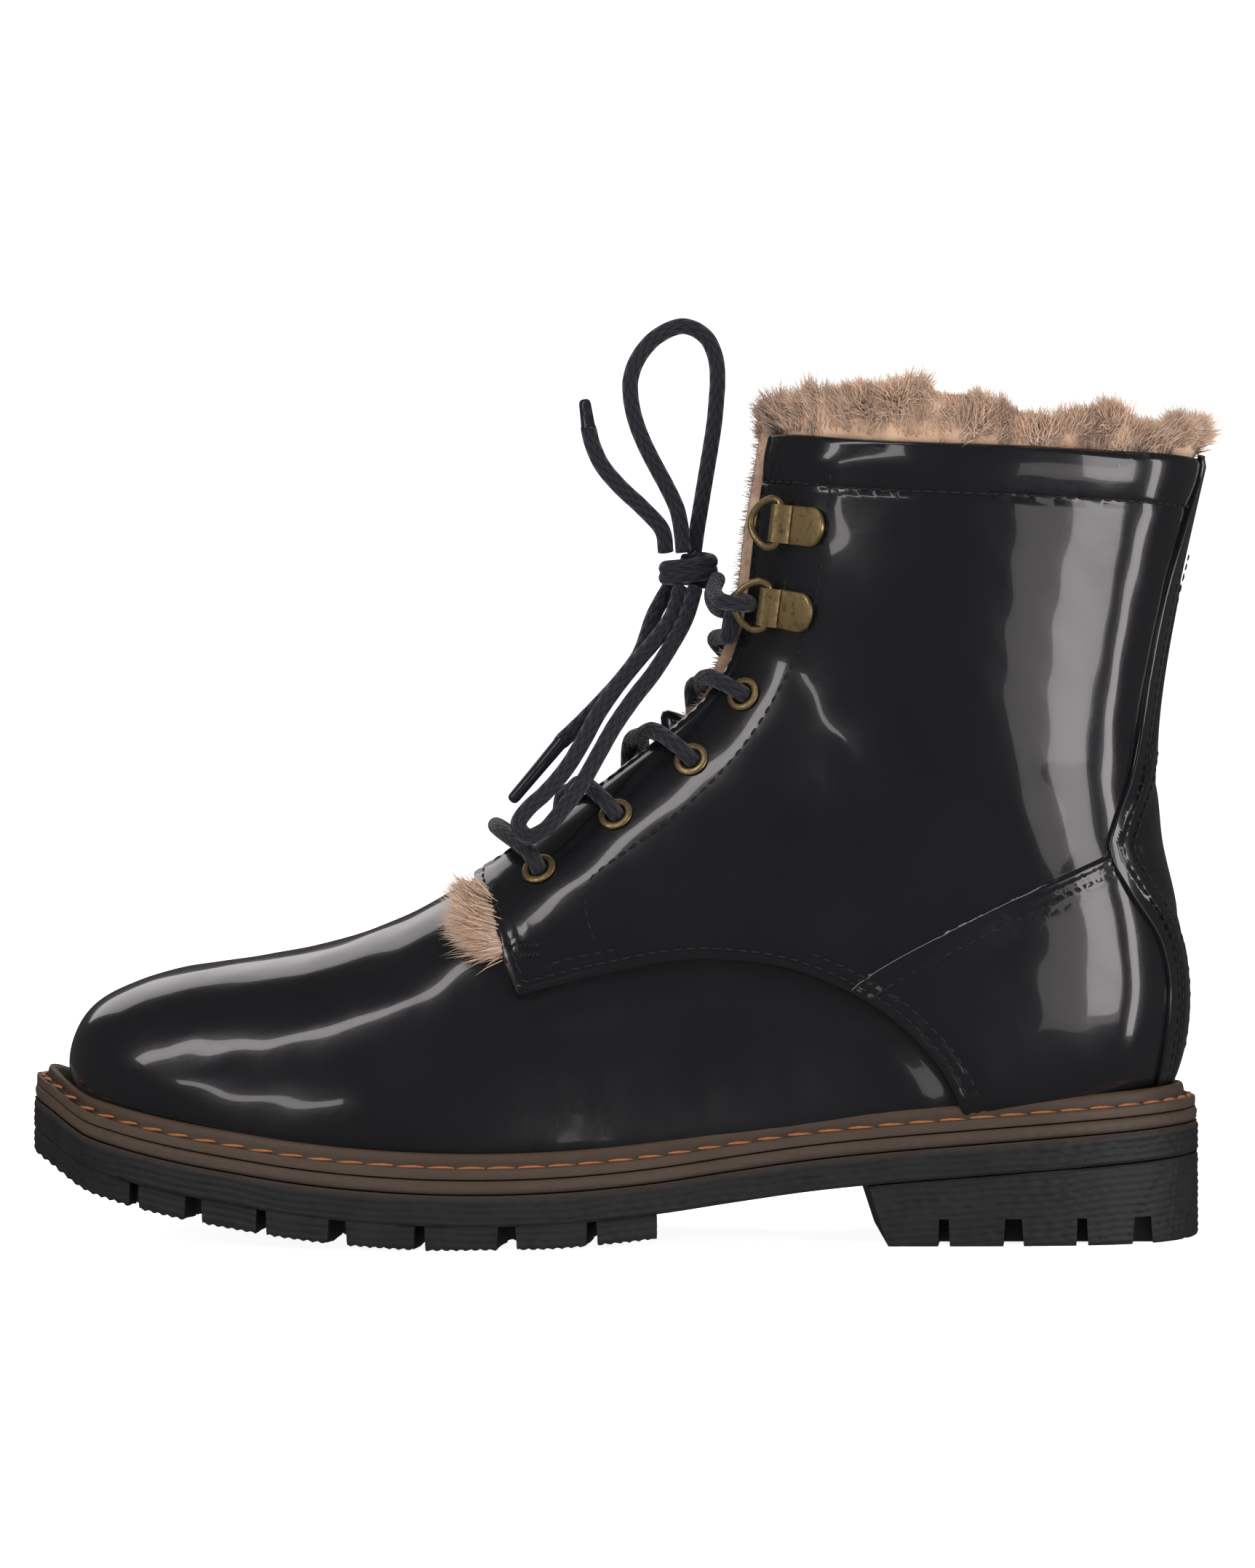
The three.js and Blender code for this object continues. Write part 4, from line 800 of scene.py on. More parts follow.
def farFrom(points, seam, region):
    # signed distance in side view from a seam; positive within the region's outline
    p = points[:, [0, 2]]
    best = np.full(len(p), 1e9)
    for a, b in zip(seam[:-1], seam[1:]):
        d = b - a
        t = np.clip(((p - a) @ d) / max(d @ d, 1e-9), 0, 1)
        best = np.minimum(best, np.linalg.norm(p - a - t[:, None] * d, axis=1))
    inside = np.zeros(len(p), bool)
    region = np.asarray(region, float)
    for a, b in zip(region, np.roll(region, -1, axis=0)):
        if a[1] == b[1]:
            continue
        hit = (a[1] > p[:, 1]) != (b[1] > p[:, 1])
        inside ^= hit & (p[:, 0] < (b[0] - a[0]) * (p[:, 1] - a[1]) / (b[1] - a[1]) + a[0])
    return np.where(inside, best, -best)


class Sheet:
    # a grid over the last's stations and turns, that seams are cut through
    def __init__(self, us, vs, offset=0.0):
        self.uv = np.array([(u, v) for u in us for v in vs])
        self.faces = gridFaces(len(us), len(vs))
        self.offset = offset
        self.locked = np.zeros(len(self.uv), bool)

    def points(self):
        return surface(self.uv[:, 0], self.uv[:, 1], self.offset)

    def cut(self, field, level=0.0, keep=0):
        # splits the faces along the line where the field has this level; keeps its upper side if asked
        f = field(self.points()) - level
        crossing = {}
        for face in self.faces:
            for a, b in zip(face, face[1:] + face[:1]):
                if f[a] * f[b] < 0:
                    crossing[(a, b) if a < b else (b, a)] = None
        if crossing:
            pairs = np.array(list(crossing))
            low, high = self.uv[pairs[:, 0]], self.uv[pairs[:, 1]]
            fl, fh = f[pairs[:, 0]], f[pairs[:, 1]]
            t = fl / (fl - fh)
            where = low + (high - low) * t[:, None]
            fw = field(surface(where[:, 0], where[:, 1], self.offset)) - level
            same = fw * fl > 0
            t = np.where(same, t + (1 - t) * fw / np.where(same, fw - fh, 1),
                         t * fl / np.where(same, 1, fl - fw))
            t = np.clip(t, 0.001, 0.999)
            where = low + (high - low) * t[:, None]
            near = {}
            for k, (a, b) in enumerate(pairs):
                end = a if t[k] < 0.2 else b if t[k] > 0.8 else None
                if end is not None and not self.locked[end] and (end not in near or min(t[k], 1
                        - t[k]) < near[end][0]):
                    near[end] = (min(t[k], 1 - t[k]), where[k])
            for end, (_, spot) in near.items():
                self.uv[end] = spot
                f[end] = 0
                self.locked[end] = True
            added = []
            for k, (a, b) in enumerate(pairs):
                if f[a] * f[b] < 0:
                    crossing[(a, b)] = len(self.uv) + len(added)
                    added.append(where[k])
            if added:
                self.uv = np.vstack([self.uv, added])
                f = np.concatenate([f, np.zeros(len(added))])
                self.locked = np.concatenate([self.locked, np.ones(len(added), bool)])
        kept = []
        for face in self.faces:
            signs = [f[a] for a in face]
            if min(signs) >= 0:
                if max(signs) > 0 or not keep:
                    kept.append(face)
                continue
            if max(signs) <= 0:
                if not keep:
                    kept.append(face)
                continue
            upper, lower = [], []
            for a, b in zip(face, face[1:] + face[:1]):
                if f[a] >= 0:
                    upper.append(a)
                if f[a] <= 0:
                    lower.append(a)
                if f[a] * f[b] < 0:
                    new = crossing[(a, b) if a < b else (b, a)]
                    upper.append(new)
                    lower.append(new)
            if len(upper) > 2:
                kept.append(tuple(upper))
            if len(lower) > 2 and not keep:
                kept.append(tuple(lower))
        self.faces = kept
        return self

    def tidy(self):
        used = sorted({a for face in self.faces for a in face})
        number = {a: k for k, a in enumerate(used)}
        self.uv = self.uv[used]
        self.locked = self.locked[used]
        self.faces = [tuple(number[a] for a in face) for face in self.faces]
        return self


far = 400
vampSeam = [(85.6, 28), (79.5, 41), (72.4, 49.5), (64, 56.6), (52, 63.2), (39.1, 67.6), (18.2, 69.4),
            (-8, 65)]
counterSeam = [(150, 103), (134, 100.6), (119.7, 94.5), (87, 79.3), (60, 64.5), (52, 57)]
stripEdge = [(146.5, 200), (145.6, 189.8), (141.5, 176.7), (136, 159), (131.9, 139.1), (129.6, 125.3),
             (126.5, 113),
             (122.3, 102.8), (120.4, 95.4), (125.6, 85.7), (133.6, 74.1), (136.3, 63.8), (136.3, 56.5),
             (135.2, 45.6), (132.4, 30)]
collarLine = [(20, 199), (38.7, 197.6), (60, 195), (98, 193.2), (118, 192.3), (160, 191.2)]
fleeceLine = [(20, 199), (33, 201), (41, 204.2), (52, 206), (66, 206.3), (79, 205), (91, 202.5),
              (101, 198.6), (107, 197.6),
              (115, 201), (123, 199.5), (129.5, 196.6), (137, 199), (160, 196.5)]

seamLow = np.vstack([line(vampSeam), line([(-8, 65), (-23.5, 60.9)]),
                     line([(-23.5, 60.9), (-27.5, 71), (-30.9, 81.5), (-33.6, 85.4)]),
                     line([(-33.6, 85.4), (-34.9, 89), (-34.2, 92.6), (-31.2, 96.1)])])
quarterSide = np.vstack([seamLow, [(-30, far), (far, far), (far, 28)]])
lineCounter, lineStrip, lineCollar = line(counterSeam), line(stripEdge), line(collarLine)


def quarterEdge(p):
    return farFrom(p, seamLow, quarterSide)


def openingEdge(p):
    # distance from the facing's edge; the back of the shaft is far from it
    side = np.abs(p[:, 1]) - halfOpening(p[:, 2])
    return np.where((p[:, 0] < 86) & (p[:, 2] > 84), side * 1.02, 60)


def collarEdge(p):
    return farFrom(p, lineCollar, np.vstack([lineCollar, [(far, -50), (-far, -50), (-far, 199)]]))


def counterEdge(p):
    # positive above the counter's seam
    return farFrom(p, lineCounter, np.vstack([lineCounter,
            [(52, 40), (-far, 40), (-far, far), (far, far), (far, 103)]]))


def stripSide(p):
    return farFrom(p, lineStrip, np.vstack([lineStrip, [(far, 30), (far, 200)]]))


def weltEdge(p):
    return p[:, 2] - feather(p[:, 0])


vampBack = line([(-36, 130), (-30, 95), (-26, 84), (-18, 77), (-4, 74), (18.2, 77.6), (41, 76), (56, 71),
                 (70, 63), (79, 54), (88, 42), (92, 20)])


def vampEdge(p):
    return farFrom(p, vampBack, np.vstack([vampBack, [(92, -50), (-far, -50), (-far, far), (-30, far)]]))


def rolled(d, r):
    # how far an edge's top face falls, d in from the edge
    s = np.clip(d / r, 0, 1)
    return -r * (1 - np.sqrt(np.clip(1 - (1 - s) ** 2, 0, 1)))


def groove(d, at, deep, wide=0.55):
    return -deep * np.exp(-((d - at) / wide) ** 2)


def leatherPanel(node, sheet, lift, thick):
    sheet.tidy()
    base = surface(sheet.uv[:, 0], sheet.uv[:, 1])
    points = surface(sheet.uv[:, 0], sheet.uv[:, 1], lift(base))
    piece = newPiece(node + "_leather", points, sheet.faces, looks["polished"])
    finishWith(piece, "SOLIDIFY", thickness=thick / 1000, offset=-1, use_even_offset=False)
    piece.data.shade_smooth()
    standsFor(piece, node)


def steps(low, high, size):
    return np.linspace(low, high, max(2, int(round((high - low) / size))) + 1)


# rows and turns about a millimetre apart
panelSet = {"row": 0.085, "turn": 0.026, "thick": leather, "edge": 0.75, "stitch": 3.1}
quarterTop = leather + gap


def creases(p, deep):
    # soft hollows and swellings from wear and lasting
    return deep * wobble(p, 26, 3) + deep * 0.45 * wobble(p, 11, 5)


def sideSheet(s, low, high, endTurn, row, turn, offset, startTurn=0.0):
    # a sheet over one side of the last; s is -1 on the outer side
    vs = steps(startTurn, endTurn, turn)
    return Sheet(steps(low, high, row), vs if s < 0 else 8 - vs[::-1], offset)


bothSides = (("outer", -1), ("inner", 1))
for label, s in bothSides:
    sheet = sideSheet(s, 8.4, 22.6, 3.72, panelSet["row"], panelSet["turn"], quarterTop)
    for field in (quarterEdge, openingEdge, collarEdge, counterEdge):
        sheet.cut(field, 0, keep=1)
    for field, levels in ((quarterEdge, (0.25, 0.8, 2, 3, 4.6, 5.6)), (openingEdge, (0.25, 0.8, 1.8, 2.8)),
                          (collarEdge, (0.25, 0.8, 11.4, 12.4)), (counterEdge, (0.3, 0.9))):
        for level in levels:
            sheet.cut(field, level)

    def lift(p):
        bottom, front, top, back = quarterEdge(p), openingEdge(p), collarEdge(p), counterEdge(p)
        nearest = np.minimum(np.minimum(bottom, front), top)
        rise = quarterTop + rolled(nearest, panelSet["edge"])
        rise = rise + groove(bottom, 2.5, 0.3) + groove(bottom, 5.1, 0.26) + groove(front, 2.3,
                0.26) + groove(top, 11.9, 0.3)
        puff = np.exp(-((bottom - 3.8) / 0.9) ** 2) * 0.16 + np.exp(-((top - 5.5) / 4) ** 2) * 0.35
        calm = smooth(0, 9, nearest)
        return rise + puff + creases(p, 0.12) * calm + 0.16 * np.exp(-(back / 2) ** 2)
    leatherPanel("quarter_" + label, sheet, lift, panelSet["thick"])

    sheet = sideSheet(s, 7.2, 20.5, 3.0, panelSet["row"], panelSet["turn"], quarterTop)
    sheet.cut(quarterEdge, 0, keep=1).cut(lambda p: -counterEdge(p), -1.2, keep=1).cut(weltEdge, -1.5, keep=1)
    for field, levels in ((quarterEdge, (0.25, 0.8, 2, 3, 4.6, 5.6)),
                          (counterEdge, (-0.3, -0.9, -1.8, -2.6, -3.8, -5.2, -6.2))):
        for level in levels:
            sheet.cut(field, level)

    def lift(p):
        bottom, up = quarterEdge(p), -counterEdge(p)
        rise = quarterTop + rolled(bottom, panelSet["edge"]) + 0.05
        rise = rise + groove(bottom, 2.5, 0.3) + groove(bottom, 5.1, 0.26)
        fold = np.where(up > 0, 0.62 * (1 - smooth(0.0, 9, up)), 0.3)
        rise = rise + fold + groove(up, 2.2, 0.28) + groove(up, 4.8, 0.24) - 0.9 * (1 - smooth(-1.3, 0.7, up))
        return rise + creases(p, 0.1) * smooth(0, 9, bottom) * smooth(0, 9, up)
    leatherPanel("counter_" + label, sheet, lift, panelSet["thick"])
print("quarters and counters cut")

sheet = Sheet(steps(0.0, 13.5, panelSet["row"]), steps(0.75, 7.25, panelSet["turn"]), 0.0)
sheet.cut(vampEdge, 0, keep=1).cut(weltEdge, -1.5, keep=1)


def lift(p):
    # hollows where it is drawn in under the facings, and faint creases over the ball of the foot
    ball = np.exp(-((p[:, 0] + 42) / 30) ** 2) * smooth(34, 60, p[:, 2])
    folds = wobble(p * np.array([1, 0.35, 0.5]), 13, 9)
    tuck = farFrom(p, seamLow, quarterSide)
    return creases(p, 0.1) * smooth(-138, -105, p[:,
            0]) + 0.16 * ball * folds - 0.5 * np.exp(-((tuck + 1.2) / 2.2) ** 2) \
        + 0.25 * np.exp(-((tuck + 7) / 4) ** 2)


leatherPanel("vamp", sheet, lift, panelSet["thick"])
print("vamp cut")

stripTop, stripThick = 3.8, 1.4
sheet = Sheet(steps(11, 22.6, 0.075), steps(-1.25, 1.25, 0.022), stripTop)
sheet.cut(stripSide, 0, keep=1).cut(collarEdge, -0.8, keep=1).cut(weltEdge, -0.5, keep=1)
for level in (0.25, 0.7, 2.2, 2.7, 3.3):
    sheet.cut(stripSide, level)


def lift(p):
    d = stripSide(p)
    inner = np.where(d > 2.4, -0.55 * smooth(2.2, 2.7, d), 0)
    rise = stripTop + rolled(d, 0.6) + inner + groove(d, 4.4, 0.25) + 0.35 * np.exp(-((d - 7) / 3) ** 2)
    return rise - 0.8 * (1 - smooth(0, 1.6, collarEdge(p) + 0.8))


leatherPanel("back_strip", sheet, lift, stripThick)


# sole
weltThick, midsoleThick, soleThick, lugDepth = 2.6, 3.2, 7.4, 6.0
plateDown = weltThick + gap + midsoleThick + gap + soleThick  # feather line down to the plate's underside
breast, forefootEnd = 61, 10
soleSet = {"stations": 620, "ridge": 1.75, "ridgeDeep": 0.26, "tooth": 2.3, "toothDeep": 0.55}


def ladder(inset, count):
    # the sole's outline, inset, as outer and inner sides at matching places along x
    edge = soleEdge(np.linspace(0, soleTurns, 6000, endpoint=False), inset)
    tip, heel = int(edge[:, 0].argmin()), int(edge[:, 0].argmax())
    outer = edge[np.arange(tip, heel + 1 + (len(edge) if heel < tip else 0)) % len(edge)]
    inner = edge[np.arange(heel, tip + 1 + (len(edge) if tip < heel else 0)) % len(edge)][::-1]
    share = (1 - np.cos(np.linspace(0, math.pi, count + 1))) / 2
    x = edge[tip, 0] + (edge[heel, 0] - edge[tip, 0]) * share
    outerY = np.interp(x, np.maximum.accumulate(outer[:, 0]), outer[:, 1])
    innerY = np.interp(x, np.maximum.accumulate(inner[:, 0]), inner[:, 1])
    return x, outerY, innerY


def loopOf(inset, count):
    # the same outline as one loop
    x, outerY, innerY = ladder(inset, count)
    outer = np.stack([x, outerY], axis=1)
    inner = np.stack([x, innerY], axis=1)[1:-1][::-1]
    return np.vstack([outer, inner])


def weltRows(profile, count):
    # loops round the sole; the profile gives each one's inset and its height from the feather line
    for inset, rise in profile:
        loop = loopOf(inset, count)
        yield np.column_stack([loop, feather(loop[:, 0]) + rise])


def paintDrop(piece):
    # how far each point lies under the feather line
    count = len(piece.data.vertices)
    flat = np.empty(count * 3)
    piece.data.vertices.foreach_get("co", flat)
    p = flat.reshape(-1, 3) * 1000 - shift
    attribute(piece, "drop", feather(p[:, 0]) - p[:, 2])


weltProfile = [(12, -2.6), (1.0, -2.6), (0.68, -2.45), (0.6, -2.1), (0.6, -0.6), (0.7, -0.2), (1.0, -0.02),
               (1.45, 0.04), (1.75, -0.12),
               (2.1, -0.26), (2.5, -0.12), (2.85, 0.02), (3.15, 0.2), (3.3, 0.7), (3.42, 1.6), (3.6, 2.5),
               (3.9, 3.1), (4.35, 3.38),
               (4.95, 3.42), (5.6, 3.3), (6.3, 2.9), (7.2, 1.2), (8, -0.5), (12, -0.6)]
rows = list(weltRows(weltProfile, 300))
welt = newPiece("welt_run", np.concatenate(rows), loftFaces(len(rows), len(rows[0]), True), looks["welt"])
faceOut(welt)
standsFor(welt, "welt")
paintDrop(welt)


def ridges(points, drop, deep):
    # fine wavy ridges that run round the sole's side
    x = points[:, 0]
    wave = 0.16 * np.sin(x / 9.3) + 0.12 * np.sin(x / 3.7 + 1.3) + 0.1 * np.sin(x / 21 + 0.4)
    phase = drop / soleSet["ridge"] + wave
    return deep * (np.abs(np.sin(math.pi * phase)) ** 0.7 - 0.55) + 0.07 * wobble(points, 3.2, 11)


def soleBlock(name, inset, highOf, lowOf, rows, count, start=None, stop=None, teeth=False, deep=1.0,
              across=8):
    # a closed block of the sole's outline between two heights, its side ridged
    x, outerY, innerY = ladder(inset, count)
    if start is not None or stop is not None:
        kept = (x >= (start if start is not None else -far)) & (x <= (stop if stop is not None else far))
        first = np.argmax(kept)
        last = len(x) - 1 - np.argmax(kept[::-1])
        for k, edge in ((first, start), (last, stop)):
            if edge is not None:
                outerY[k], innerY[k] = np.interp(edge, x, outerY), np.interp(edge, x, innerY)
                x[k] = edge
        x, outerY, innerY = x[first:last + 1], outerY[first:last + 1], innerY[first:last + 1]
    top, low = highOf(x), lowOf(x)
    if teeth:
        saw = np.abs(np.mod(x / soleSet["tooth"], 1) * 2 - 1)
        low = low + soleSet["toothDeep"] * saw
    sections = []
    for k in range(len(x)):
        down = np.linspace(0, 1, rows + 1)
        z = top[k] + (low[k] - top[k]) * down
        left = [(outerY[k], h) for h in z]
        right = [(innerY[k], h) for h in z[::-1]]
        share = np.linspace(0, 1, across + 1)[1:-1]
        bottom = [(outerY[k] + (innerY[k] - outerY[k]) * t, low[k]) for t in share]
        upper = [(innerY[k] + (outerY[k] - innerY[k]) * t, top[k]) for t in share]
        sections.append([(x[k], y, h) for y, h in left + bottom + right + upper])
    around = len(sections[0])
    points = np.array(sections).reshape(-1, 3)
    isLeft = np.tile(np.arange(around) <= rows, len(x))
    position = np.arange(around)
    isRight = np.tile((position >= rows + across) & (position <= 2 * rows + across), len(x))
    drop = feather(points[:, 0]) - points[:, 2]
    # outward along the outline's own normal
    slopeO, slopeI = np.gradient(outerY, x), np.gradient(innerY, x)
    normalO = unit(np.column_stack([slopeO, -np.ones(len(x)), np.zeros(len(x))]))
    normalI = unit(np.column_stack([-slopeI, np.ones(len(x)), np.zeros(len(x))]))
    out = np.where(isLeft[:, None], np.repeat(normalO, around, axis=0), np.repeat(normalI, around, axis=0))
    side = isLeft | isRight
    edge = np.zeros(len(points))
    edge[side] = ridges(points[side], drop[side], soleSet["ridgeDeep"] * deep)
    down = np.tile(np.concatenate([np.linspace(0, 1, rows + 1), np.ones(across - 1),
                                   np.linspace(1, 0, rows + 1), np.zeros(across - 1)]), len(x))
    height = np.repeat(top - low, around)
    fromEdge = np.minimum(down, 1 - down) * height
    edge = np.where(side, edge - 0.45 * (1 - smooth(0, 0.7, fromEdge)), 0)
    piece = newPiece(name, points + out * edge[:, None], loftFaces(len(x), around), looks["rubber"])
    faceOut(piece)
    return piece


def carve(piece, points, faces):
    # cuts a closed shape out of a piece
    mesh = bpy.data.meshes.new("cutter")
    mesh.from_pydata(metres(points).tolist(), [], faces)
    tool = bpy.data.objects.new("cutter", mesh)
    bpy.context.scene.collection.objects.link(tool)
    faceOut(tool)
    finishWith(piece, "BOOLEAN", operation="DIFFERENCE", solver="MANIFOLD", object=tool)
    bpy.data.objects.remove(tool)


def notchPoints(x, width, y0, y1, slant, roof):
    top = width * 0.72
    section = [(-width / 2, -5), (width / 2, -5), (top / 2, roof), (-top / 2, roof)]
    return [(cx + dx, y, z) for y, cx in ((y0, x), (y1, x + slant)) for dx, z in section]


boxFaces = [(0, 1, 2, 3), (7, 6, 5, 4), (0, 4, 5, 1), (1, 5, 6, 2), (2, 6, 7, 3), (3, 7, 4, 0)]
notchWidths, edgeLug, notchOver = (3.2, 5.6), 22, 0.6
forefootNotches = [-119.3, -103.8, -86.7, -68.1, -48.3, -27.7, -7.7]
heelNotches = [76.5, 93.3, 109.9, 124.6]


def cutNotches(piece, places, roofAt, grooveEnds, grooveY):
    inner = 46 - edgeLug
    for i, x in enumerate(places):
        width, roof = notchWidths[i % 2], roofAt(x) + notchOver
        after = (x + places[i + 1]) / 2 if i + 1 < len(places) else x + 8
        for cut in (notchPoints(x, width, -70, -inner, 4, roof), notchPoints(x, width, inner, 70, -4, roof),
                    notchPoints(after, notchWidths[0], -inner, inner, 0, roof)):
            carve(piece, cut, boxFaces)
    for s in (-1, 1):
        xs = np.linspace(*grooveEnds, 9)
        rows = [[(x, s * grooveY - 1.8, -5), (x, s * grooveY + 1.8, -5),
                 (x, s * grooveY + 1.3, roofAt(x) + notchOver),
                 (x, s * grooveY - 1.3, roofAt(x) + notchOver)] for x in xs]
        carve(piece, np.array(rows).reshape(-1, 3), loftFaces(len(rows), 4))


midsole = soleBlock("midsole_run", 0.3, lambda x: feather(x) - 2.9, lambda x: feather(x) - 6.1, 8, 420,
                    deep=0.55, across=4)
standsFor(midsole, "midsole")
midsole.data.materials[0] = looks["welt"]
plate = soleBlock("outsole_plate", 0.0, lambda x: feather(x) - 6.4, lambda x: feather(x) - plateDown, 20,
                  soleSet["stations"])
tread = soleBlock("outsole_tread", 0.0, lambda x: feather(x) - plateDown,
                  lambda x: np.maximum(0, feather(x) - plateDown - lugDepth),
                  16, soleSet["stations"], stop=forefootEnd, teeth=True)
cutNotches(tread, forefootNotches, lambda x: float(feather(x)) - plateDown, (-122, forefootEnd + 5), 46
           - edgeLug)
heel = soleBlock("heel_run", 0.0, lambda x: feather(x) - plateDown - gap, lambda x: np.zeros(len(x)), 44,
                 soleSet["stations"],
                 start=breast - 0.6)
cutNotches(heel, heelNotches, lambda x: lugDepth, (breast - 5, 160), 15)
# the breast leans back under the heel
carve(heel, [(x, y, z) for y in (-70, 70) for x, z in ((40, -5), (40, 16), (60.6, 16), (67.5, -5))], boxFaces)
for piece, node in ((plate, "outsole"), (tread, "outsole"), (heel, "heel_block")):
    standsFor(piece, node)
    select(piece)
    bpy.ops.object.shade_smooth_by_angle(angle=math.radians(38))
for piece in (midsole, plate, tread, heel):
    paintDrop(piece)
print("sole built", [len(p.data.polygons) for p in (plate, tread, heel)])


# stitching
def alongLevel(sheet, field, level):
    # the lines on a sheet where a field has this level, as runs of ordered places
    f = field(sheet.points()) - level
    segments, links = {}, {}
    for face in sheet.faces:
        hits = []
        for a, b in zip(face, face[1:] + face[:1]):
            if (f[a] > 0) != (f[b] > 0):
                key = (min(a, b), max(a, b))
                if key not in segments:
                    t = f[key[0]] / (f[key[0]] - f[key[1]])
                    segments[key] = sheet.uv[key[0]] + (sheet.uv[key[1]] - sheet.uv[key[0]]) * t
                hits.append(key)
        if len(hits) == 2:
            links.setdefault(hits[0], []).append(hits[1])
            links.setdefault(hits[1], []).append(hits[0])
    runs, left = [], set(links)
    while left:
        ends = [k for k in left if len([n for n in links[k] if n in left]) <= 1]
        now = min(ends) if ends else min(left)
        run = [now]
        left.discard(now)
        while True:
            following = [n for n in links[now] if n in left]
            if not following:
                break
            now = following[0]
            left.discard(now)
            run.append(now)
        if len(run) > 8:
            runs.append(np.array([segments[k] for k in run]))
    return runs


def stitchAt(place, way, out, length, wide, tall):
    # one stitch: a small rounded pad along way, dipping at its ends
    side = np.cross(out, way)
    rows = [(-0.5, 0.0), (-0.42, 0.62), (-0.15, 1.0), (0.15, 1.0), (0.42, 0.62), (0.5, 0.0)]
    points = []
    for t, full in rows:
        centre = place + way * length * t - out * tall * (0.35 if full == 0 else 0.0 if full == 1.0 else 0.12)
        if full == 0:
            points.append(centre)
            continue
        for a in range(6):
            turn = a * math.pi / 3
            points.append(centre + (side * math.cos(turn) * wide / 2 + out * math.sin(turn) * tall / 2)
                          * full)
    faces = [(0, 1 + (a + 1) % 6, 1 + a) for a in range(6)]
    for r in range(3):
        first = 1 + 6 * r
        faces += [(first + a, first + (a + 1) % 6, first + 6 + (a + 1) % 6, first + 6 + a) for a in range(6)]
    last = 19
    faces += [(last + a, last + (a + 1) % 6, 25) for a in range(6)]
    return points, faces


def stitches(name, runs, size, look, node, twist=0.0):
    # runs are lists of (points, normals); size is pitch, length, width and height
    pitch, length, wide, tall = size
    points, faces = [], []
    for p, n in runs:
        far = np.concatenate([[0], np.cumsum(np.linalg.norm(np.diff(p, axis=0), axis=1))])
        count = int(far[-1] / pitch)
        if count < 1:
            continue
        marks = (np.arange(count) + 0.5) * far[-1] / count
        where = np.stack([np.interp(marks, far, p[:, c]) for c in range(3)], axis=1)
        outs = unit(np.stack([np.interp(marks, far, n[:, c]) for c in range(3)], axis=1))
        ahead = np.stack([np.interp(marks + 0.4, far, p[:, c]) - np.interp(marks - 0.4, far, p[:, c])
                          for c in range(3)], axis=1)
        ahead = unit(ahead - outs * np.sum(ahead * outs, axis=1)[:, None])
        for a, w, o in zip(where, ahead, outs):
            if twist:
                w = unit(w + np.cross(o, w) * math.tan(twist))
            more, made = stitchAt(a, w, o, length, wide, tall)
            first = len(points)
            points += more
            faces += [tuple(first + k for k in face) for face in made]
    piece = newPiece(name, points, faces, looks[look])
    faceOut(piece)
    piece.data.shade_smooth()
    standsFor(piece, node)


def onSurface(uvRuns, offset):
    return [(surface(uv[:, 0], uv[:, 1], offset), normalAt(uv[:, 0], uv[:, 1])) for uv in uvRuns]


def clipRuns(uvRuns, test):
    # keeps the stretches of each run where the test on their points holds
    kept = []
    for uv in uvRuns:
        good = test(surface(uv[:, 0], uv[:, 1], quarterTop))
        start = None
        for k, ok in enumerate(list(good) + [False]):
            if ok and start is None:
                start = k
            if not ok and start is not None:
                if k - start > 5:
                    kept.append(uv[start:k])
                start = None
    return kept


eyestay = line([(52.2, 194.5), (51.5, 178), (47, 151), (40, 135), (29.5, 119), (15, 104.5), (0.5, 94),
                (-6.6, 88), (-7.4, 82),
                (-4.8, 73), (-1.5, 66.5)])


def eyestayEdge(p):
    return farFrom(p, eyestay, np.vstack([eyestay, [(-1.5, -50), (far, -50), (far, far), (52.2, far)]]))


def notStrip(p):
    return stripSide(p) < -0.3


